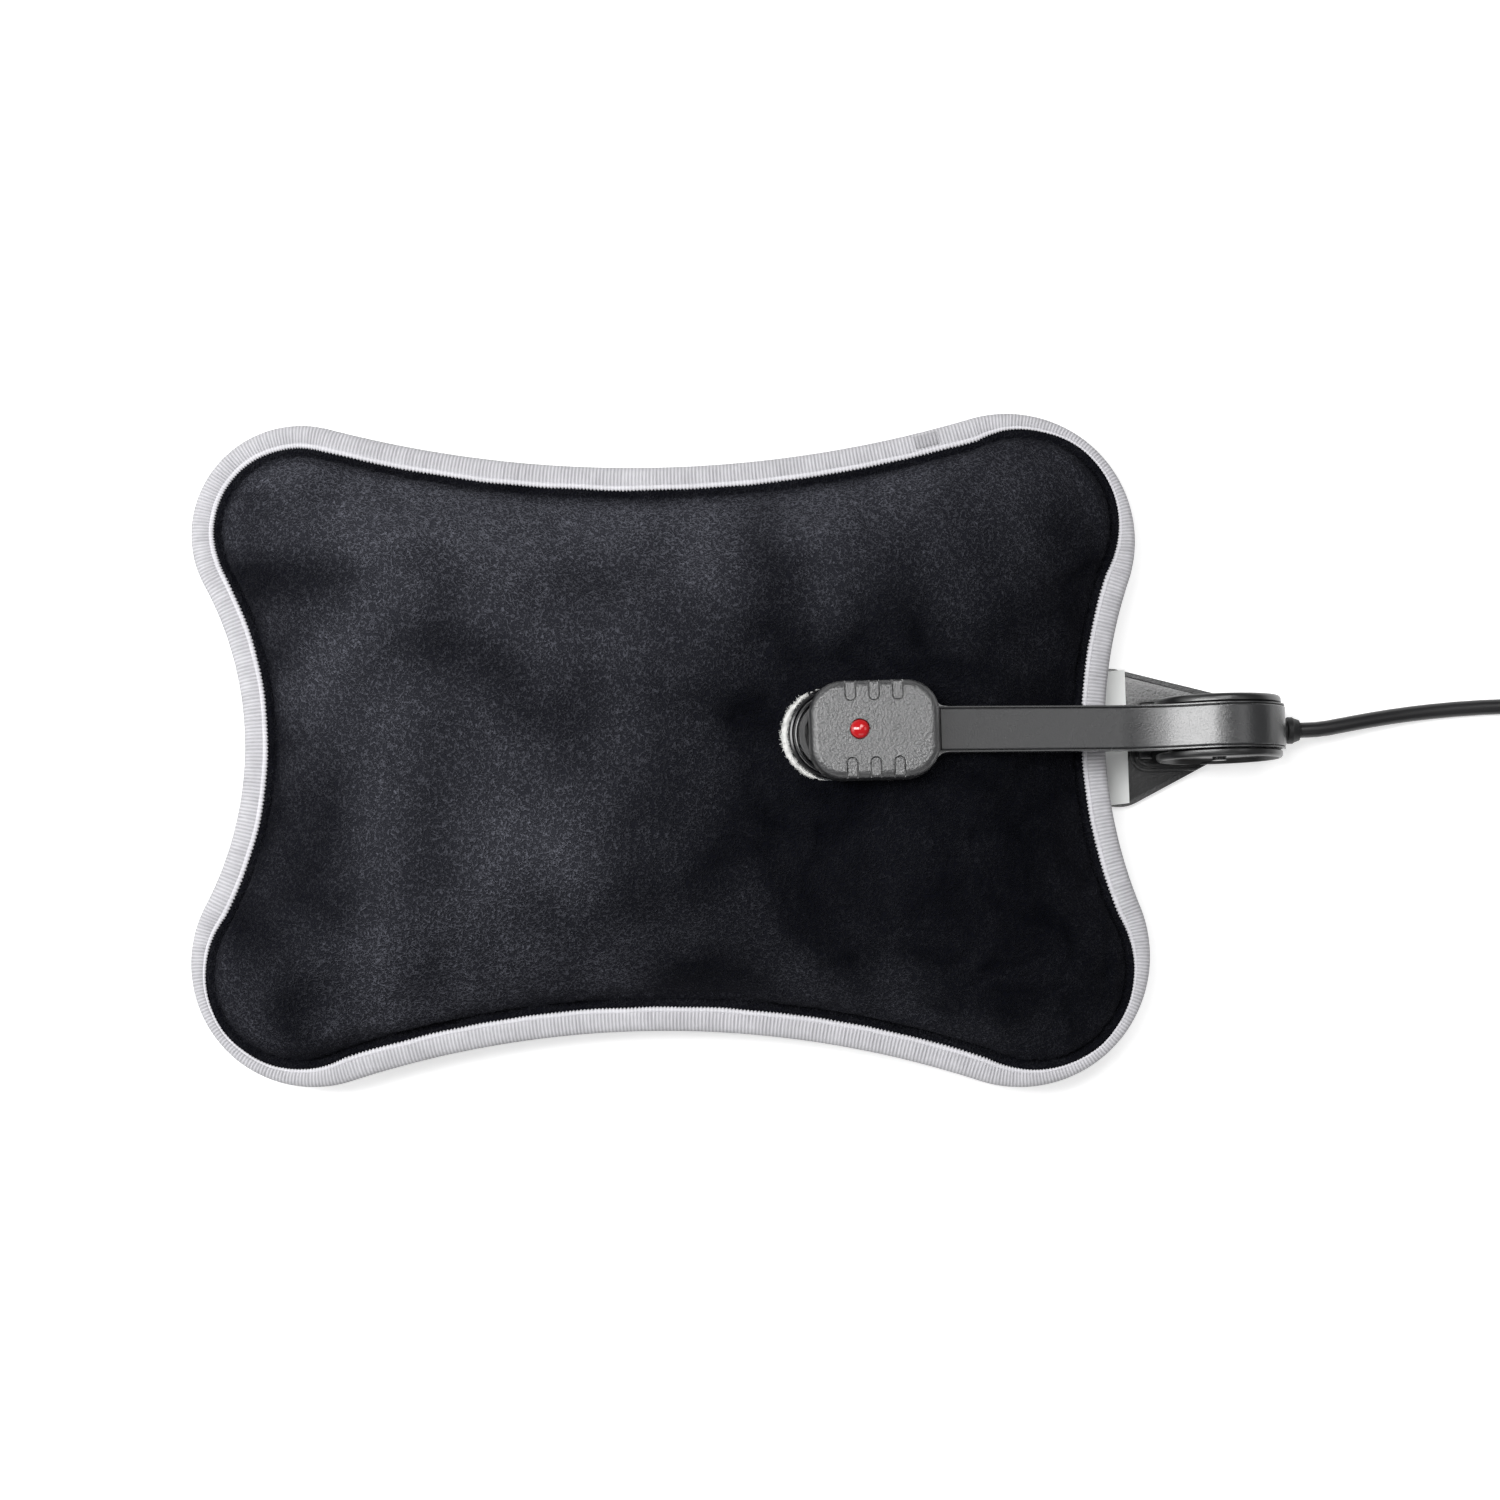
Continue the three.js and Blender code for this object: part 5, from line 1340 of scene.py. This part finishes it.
class BOTTLE_OT_head(bpy.types.Operator):
    """Makes the clamp's head with its grip slots and red lens"""

    bl_idname = "bottle.head"
    bl_label = "Head"

    def execute(self, context):
        cover = head_block("head_top", SHELL_TOP + GAP, HEAD_TOP)
        bevel(cover, rim(HEAD_TOP), CROWN_ROUND, segments=6, profile=0.55)
        carve(cover, head_block("room", SHELL_TOP - 1, HEAD_TOP - ROOF, SHELL_WALL))
        for k in (-1, 0, 1):
            for side in (-1, 1):
                carve(cover, self.grip_slot(HEAD_X + k * SLOT_PITCH, side))
        low = HEAD_TOP - 4
        high = HEAD_TOP + 2
        hole = lathe("hole", ((0, low), (LENS_HOLE, low), (LENS_HOLE, high), (0, high)), 40)
        hole.data.transform(Matrix.Translation((LENS_X, 0, 0)))
        carve(cover, hole)
        soften(cover, 0.18, sharp=38, angle=40)
        settle(cover, CLAMP, JAW, "satin_plastic", "spark", "head_cover")

        tray = head_block("head_tray", HEAD_BOTTOM, SHELL_TOP)
        bevel(tray, rim(HEAD_BOTTOM), TRAY_ROUND, segments=4)
        carve(tray, head_block("room", HEAD_BOTTOM + SHELL_FLOOR, SHELL_TOP + 2, SHELL_WALL))
        soften(tray, 0.25, sharp=38, angle=40)
        settle(tray, CLAMP, JAW, "satin_plastic", "spark", "jaw_frame")

        path = evenly(stadium(BOSS_RADIUS, 24), 96)
        boss = loft("connector_boss", [[(place.x + way.x * out, place.y + way.y * out, up)
                                        for place, way in path] for out, up in BOSS_RINGS], closed=False)
        smooth(boss, 35)
        settle(boss, PORT, JAW, "satin_plastic", "black", "jaw_frame")

        lens = lathe("lens", self.lens_profile(), 48)
        smooth(lens, 35)
        settle(lens, CLAMP @ Matrix.Translation((LENS_X, 0, 0)), JAW, "red_lens", "lens", "indicator_lens")
        return {"FINISHED"}

    def grip_slot(self, x, side):
        """A cutter for a groove that runs round a low tab, open at the head's side."""
        inner = side * (HEAD_WIDTH / 2 - SLOT_LENGTH)
        outer = side * (HEAD_WIDTH / 2 + OVERRUN)
        slot = round_ended("slot", x, SLOT_HALF, inner, outer, HEAD_TOP - SLOT_DEPTH, HEAD_TOP + OVERRUN)
        carve(slot, round_ended("tab", x, TAB_HALF, inner + side * TAB_GAP, outer + side,
                                HEAD_TOP - OVERRUN, HEAD_TOP - TAB_DROP))
        return slot

    def lens_profile(self):
        seat = HEAD_TOP - ROOF
        ledge = seat + FLANGE_HEIGHT
        top = HEAD_TOP - LENS_SINK
        profile = [(0, seat), (LENS_FLANGE, seat), (LENS_FLANGE, ledge), (LENS_RADIUS, ledge)]
        profile.append((LENS_RADIUS, top))
        for step in range(1, LENS_STEPS + 1):
            out, up = toward(math.pi / 2 * step / LENS_STEPS)
            profile.append((LENS_RADIUS * out, top + LENS_DOME * up))
        return profile


# Arm

ARM_HALF = ARM_WIDTH / 2
BAND_INNER = 14.6
BAND_START = math.radians(155)
BAND_INNER_STEPS = 40
CHANNEL_DEPTH = 1.2
CHANNEL_WALL = 0.45
STRIP_WALL = 0.6
STRIP_TOP = 0.12
STRIP_BOTTOM = 1.15
STRIP_ROUND = 0.5
ARM_LAP = 0.6
STRIP_LAP = 0.75
UNDER_END = -15.5
NECK_SINK = 0.2
NECK_RAISE = 0.3
NECK_DROP = 0.5
# Along from the head's end, and out from the arm's side
NECK = ((-0.5, 0), (-0.5, 1.7), (0.25, 1), (0.9, 0.55), (1.7, 0.28), (3, 0.15), (3, 0))


class BOTTLE_OT_arm(bpy.types.Operator):
    """Makes the arm, the band over the drum and the strip let into them"""

    bl_idname = "bottle.arm"
    bl_label = "Arm and band"

    def execute(self, context):
        top = arm_path(0, HEAD_END - ARM_LAP, BAND_END)
        under = arm_path(ARM_DEPTH, HEAD_END - ARM_LAP, BAND_END)
        inner = []
        for step in range(BAND_INNER_STEPS + 1):
            angle = BAND_END + (BAND_START - BAND_END) * step / BAND_INNER_STEPS
            inner.append(Vector((BAND_INNER * math.cos(angle), HINGE_Z + BAND_INNER * math.sin(angle))))
        drop = [p for p in under if p.x < UNDER_END]
        rail = prism("arm_rail", top + inner + drop[::-1], -ARM_HALF, ARM_HALF)
        high = arm_path(-OVERRUN, HEAD_END + GAP, BAND_END - 0.1)
        low = arm_path(CHANNEL_DEPTH, HEAD_END + GAP, BAND_END - 0.1)
        carve(rail, prism("channel", high + low[::-1], -ARM_HALF + CHANNEL_WALL, ARM_HALF - CHANNEL_WALL))
        for side in (-1, 1):
            flare = [(HEAD_END + along, side * (ARM_HALF - NECK_SINK + out)) for along, out in NECK]
            join(rail, slab("neck", flare, ARM_TOP - ARM_DEPTH + NECK_RAISE, ARM_TOP - NECK_DROP))
        soften(rail, 0.3, sharp=50, angle=40)
        settle(rail, CLAMP, JAW, "satin_plastic", "satin", "jaw_frame")

        high = arm_path(-STRIP_TOP, HEAD_END + STRIP_LAP, BAND_END - 0.01)
        low = arm_path(STRIP_BOTTOM, HEAD_END + STRIP_LAP, BAND_END - 0.01)
        strip = prism("arm_band", high + low[::-1], -ARM_HALF + STRIP_WALL, ARM_HALF - STRIP_WALL)

        def long_edge(edge):
            a, b = (v.co for v in edge.verts)
            return abs(a.y - b.y) < 0.001 and abs(a.y) > 4
        bevel(strip, long_edge, STRIP_ROUND, segments=4)
        smooth(strip, 40, True)
        settle(strip, CLAMP, JAW, "satin_plastic", "satin", "arm_strip")
        return {"FINISHED"}


# Hinge

PIN_HOLE = 2.3
DISC_HUB = 2.6
DISC_WEB = 0.8
# In from the disc's edge, and out from its inner face
DISC_RIM = ((0.4, 0), (0, 0.3), (0, 1.2), (0.2, 1.75), (0.55, 2.1), (0.9, 2.2), (1.15, 2.1), (1.5, DISC_WEB))
SLEEVE_START = 16.9
SLEEVE_RADIUS = 3.85
SLEEVE_HOLE = 2.35
SLEEVE_DIP = 0.6
# In from the sleeve's side, and out from the hinge
SLEEVE_RINGS = (
    (0, SLEEVE_START), (0, 19.6), (0.15, 19.8), (1, 19.9), (1, 21.4), (0.15, 21.5), (0, 21.7), (0, 23),
    (0.35, 23.5), (0.9, RELIEF_END - 0.1), (1.2, RELIEF_END),
)


class BOTTLE_OT_hinge(bpy.types.Operator):
    """Makes the two side discs of the hinge and the sleeve round the cord"""

    bl_idname = "bottle.hinge"
    bl_label = "Hinge"

    def execute(self, context):
        profile = [(PIN_HOLE, 0)] + [(DISC_RADIUS - inward, out) for inward, out in DISC_RIM]
        profile += [(DISC_HUB, DISC_WEB), (PIN_HOLE, DISC_WEB - 0.1), (PIN_HOLE, 0)]
        for hand, side in (("right", -1), ("left", 1)):
            disc = lathe("hinge_disc_" + hand, profile, 96)
            disc.data.transform(Matrix.Rotation(-math.pi / 2, 4, "X"))
            if side < 0:
                disc.data.transform(Matrix.Scale(-1, 4, (0, 1, 0)))
                edit(disc, outward)
            disc.data.transform(Matrix.Translation((0, side * (ARM_HALF + GAP), HINGE_Z)))
            smooth(disc, 35)
            # The disc plastic is darker, as painted shade on the disc faces
            settle(disc, CLAMP, BAG, "satin_plastic", "disc", "side_disc_" + hand)

        dip = RELIEF_END - SLEEVE_DIP
        profile = [(0, SLEEVE_START)] + [(SLEEVE_RADIUS - inward, out) for inward, out in SLEEVE_RINGS]
        profile += [(SLEEVE_HOLE, RELIEF_END), (SLEEVE_HOLE - 0.05, dip), (0, dip)]
        sleeve = lathe("cord_sleeve", profile, 48)
        sleeve.data.transform(Matrix.Rotation(math.pi / 2, 4, "Y"))
        sleeve.data.transform(Matrix.Translation((0, 0, CORD_HEIGHT)))
        smooth(sleeve, 30)
        settle(sleeve, CLAMP, BAG, "soft_rubber", "rubber", "strain_relief")
        return {"FINISHED"}


# Lower jaw

FAN_HEEL = 14
FAN_BEND = 26.5
FAN_TOE = 30.5
FAN_MIDDLE = 10.4
FAN_CORNER = 3
FAN_DROP = 1.1
CORNER_STEPS = 6
PLATE_TOP = 3
WELL_FLOOR = 2.2
FAN_WALL = 1.3
RIM_INSETS = (0.15, 0.75)
RIM_TOP = 2.75
# Side view of the plate's low roof
CROWN = ((-19.5, 2), (19.5, 2), (19.5, 2.15), (0, 3.35), (-19.5, 2.15))
CROWN_ENDS = (-13, 29)
CROWN_INSET = 0.7
DECK_WEST = -22.9
DECK_EAST = 13
DECK_HALF = 10.4
DECK_CORNER = 5
DECK_BOTTOM = 2.1
DECK_TOP = 3.4
DECK_WALL = 0.9
DECK_INSET = 0.5
# Name, inset and height of the two raised rings on the platform
DECK_RINGS = (("outer_ring", 0, 4.9), ("inner_ring", 1.6, 5.4))
LUG_ENDS = (-20.7, -17.1)
LUG_SIDES = (4.3, 7)
LUG_TOP = 8
LUG_ROUND = 0.6


def curve(a, b, c, t):
    """A quadratic curve from a to c that heads for b."""
    return (1 - t) ** 2 * a + 2 * t * (1 - t) * b + t * t * c


def fan(inset):
    """The plate's outline, drawn in by the inset, with its corners as curves."""
    slope = (PLATE_WIDE - FAN_MIDDLE) / FAN_BEND
    heel = FAN_HEEL - inset
    heel_half = FAN_MIDDLE - slope * FAN_HEEL - inset
    toe = -FAN_TOE + inset
    wide = PLATE_WIDE - inset
    run = slope * FAN_CORNER
    half = [(heel, heel_half - FAN_CORNER)]
    for step in range(1, CORNER_STEPS + 1):
        t = step / CORNER_STEPS
        half.append((curve(heel, heel, heel - FAN_CORNER, t),
                     curve(heel_half - FAN_CORNER, heel_half, heel_half + run, t)))
    for step in range(CORNER_STEPS + 1):
        t = step / CORNER_STEPS
        half.append((curve(FAN_CORNER - FAN_BEND, -FAN_BEND, toe, t),
                     curve(wide - run, wide, wide - FAN_DROP, t)))
    return half + [(x, -y) for x, y in half[::-1]]


def deck_block(name, inset, bottom, top):
    size = (DECK_WEST + inset, DECK_EAST - inset, -DECK_HALF + inset, DECK_HALF - inset, bottom, top)
    return rounded_block(name, size, DECK_CORNER - inset)


class BOTTLE_OT_plate(bpy.types.Operator):
    """Makes the lower jaw's fan shaped plate with its rim and platform"""

    bl_idname = "bottle.plate"
    bl_label = "Lower jaw plate"

    def execute(self, context):
        plate = slab("base_fan", fan(0), 0, PLATE_TOP)
        smooth(plate, 30)
        carve(plate, slab("well", fan(FAN_WALL), WELL_FLOOR, 6))
        outer, inner = RIM_INSETS
        edge = slab("fan_rim", fan(outer), WELL_FLOOR, RIM_TOP)
        carve(edge, slab("hole", fan(inner), 1, 8))
        crown = prism("crown", CROWN, *CROWN_ENDS)
        crown.data.transform(Matrix.Rotation(math.pi / 2, 4, "Z"))
        carve(crown, slab("within", fan(CROWN_INSET), 1, 9), "INTERSECT")
        join(plate, edge, crown)
        soften(plate, 0.25, sharp=50, angle=35)
        settle(plate, LOWER, BAG, "satin_plastic", "matt", "base_plate")

        parts = []
        for name, inset, top in DECK_RINGS:
            ring = deck_block(name, inset, DECK_BOTTOM, top)
            carve(ring, deck_block("room", inset + DECK_WALL, 1, 8))
            parts.append(ring)
        parts.append(deck_block("deck", DECK_INSET, DECK_BOTTOM, DECK_TOP))
        for part in parts:
            within = slab("within", fan(0.1), 1, 9)
            within.data.transform(CLAMP.inverted() @ LOWER)
            carve(part, within, "INTERSECT")
        for side in (-1, 1):
            low, high = sorted(side * y for y in LUG_SIDES)
            lug = block("lug", *LUG_ENDS, low, high, DECK_BOTTOM, LUG_TOP)
            bevel(lug, level(LUG_TOP), LUG_ROUND)
            parts.append(lug)
        platform = join(*parts)
        rename(platform, "platform")
        soften(platform, 0.22, sharp=50, angle=35)
        settle(platform, CLAMP, BAG, "satin_plastic", "matt", "base_plate")
        return {"FINISHED"}


# Kept solids

CAD_FINISHES = {
    "liner": ["bladder"],
    "water": ["water_fill"],
    "rubber": ["port_gasket", "arm_leads"],
    "black": ["port_cup"],
    "brass": ["contact_pin_live", "contact_pin_earth", "contact_pin_neutral", "contact_leaf_live",
              "contact_leaf_earth", "contact_leaf_neutral"],
    "ceramic": ["heater_cage", "thermal_cutout"],
    "steel": ["heating_element", "torsion_spring", "plug_pin_a", "plug_pin_b"],
    "lamp": ["indicator_lamp"],
    "board": ["lamp_board"],
    "pale": ["jaw_paddle"],
    "satin": ["hinge_housing", "hinge_pin"],
    "jacket": ["plug_body"],
}
ROUNDED = ("plug_body", "hinge_housing", "jaw_paddle")
EDGE_ROUND = 0.3


class BOTTLE_OT_solids(bpy.types.Operator):
    """Gives the solids that stay their materials"""

    bl_idname = "bottle.solids"
    bl_label = "Kept solids"

    def execute(self, context):
        for finish_key, nodes in CAD_FINISHES.items():
            for node in nodes:
                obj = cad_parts[node]
                for place in obj.material_slots:
                    place.material = paint(finish_key)
                if node in ROUNDED:
                    edges = obj.modifiers.new("Edges", "BEVEL")
                    edges.width = EDGE_ROUND * MM
                    edges.segments = 2
                    edges.limit_method = "ANGLE"
                    edges.angle_limit = math.radians(40)
        return {"FINISHED"}


class BOTTLE_PT_panel(bpy.types.Panel):
    """Lists the pieces that can be made and their looks"""

    bl_idname = "BOTTLE_PT_panel"
    bl_label = "Hot water bottle"
    bl_space_type = "VIEW_3D"
    bl_region_type = "UI"
    bl_category = "Bottle"

    def draw(self, context):
        for step in STEPS:
            self.layout.operator(step.bl_idname)
        for key in BottleLooks.__annotations__:
            self.layout.prop(context.scene.bottle_looks, key)


STEPS = (BOTTLE_OT_stage, BOTTLE_OT_cord, BOTTLE_OT_covers, BOTTLE_OT_trim, BOTTLE_OT_port, BOTTLE_OT_head,
         BOTTLE_OT_arm, BOTTLE_OT_hinge, BOTTLE_OT_plate, BOTTLE_OT_solids)
CLASSES = (BottleLooks, *STEPS, BOTTLE_PT_panel)


def register():
    for cls in CLASSES:
        bpy.utils.register_class(cls)
    bpy.types.Scene.bottle_looks = bpy.props.PointerProperty(type=BottleLooks)


def unregister():
    del bpy.types.Scene.bottle_looks
    for cls in reversed(CLASSES):
        bpy.utils.unregister_class(cls)


def main():
    register()
    for step in STEPS:
        area, name = step.bl_idname.split(".")
        getattr(getattr(bpy.ops, area), name)()


if __name__ == "__main__":
    main()
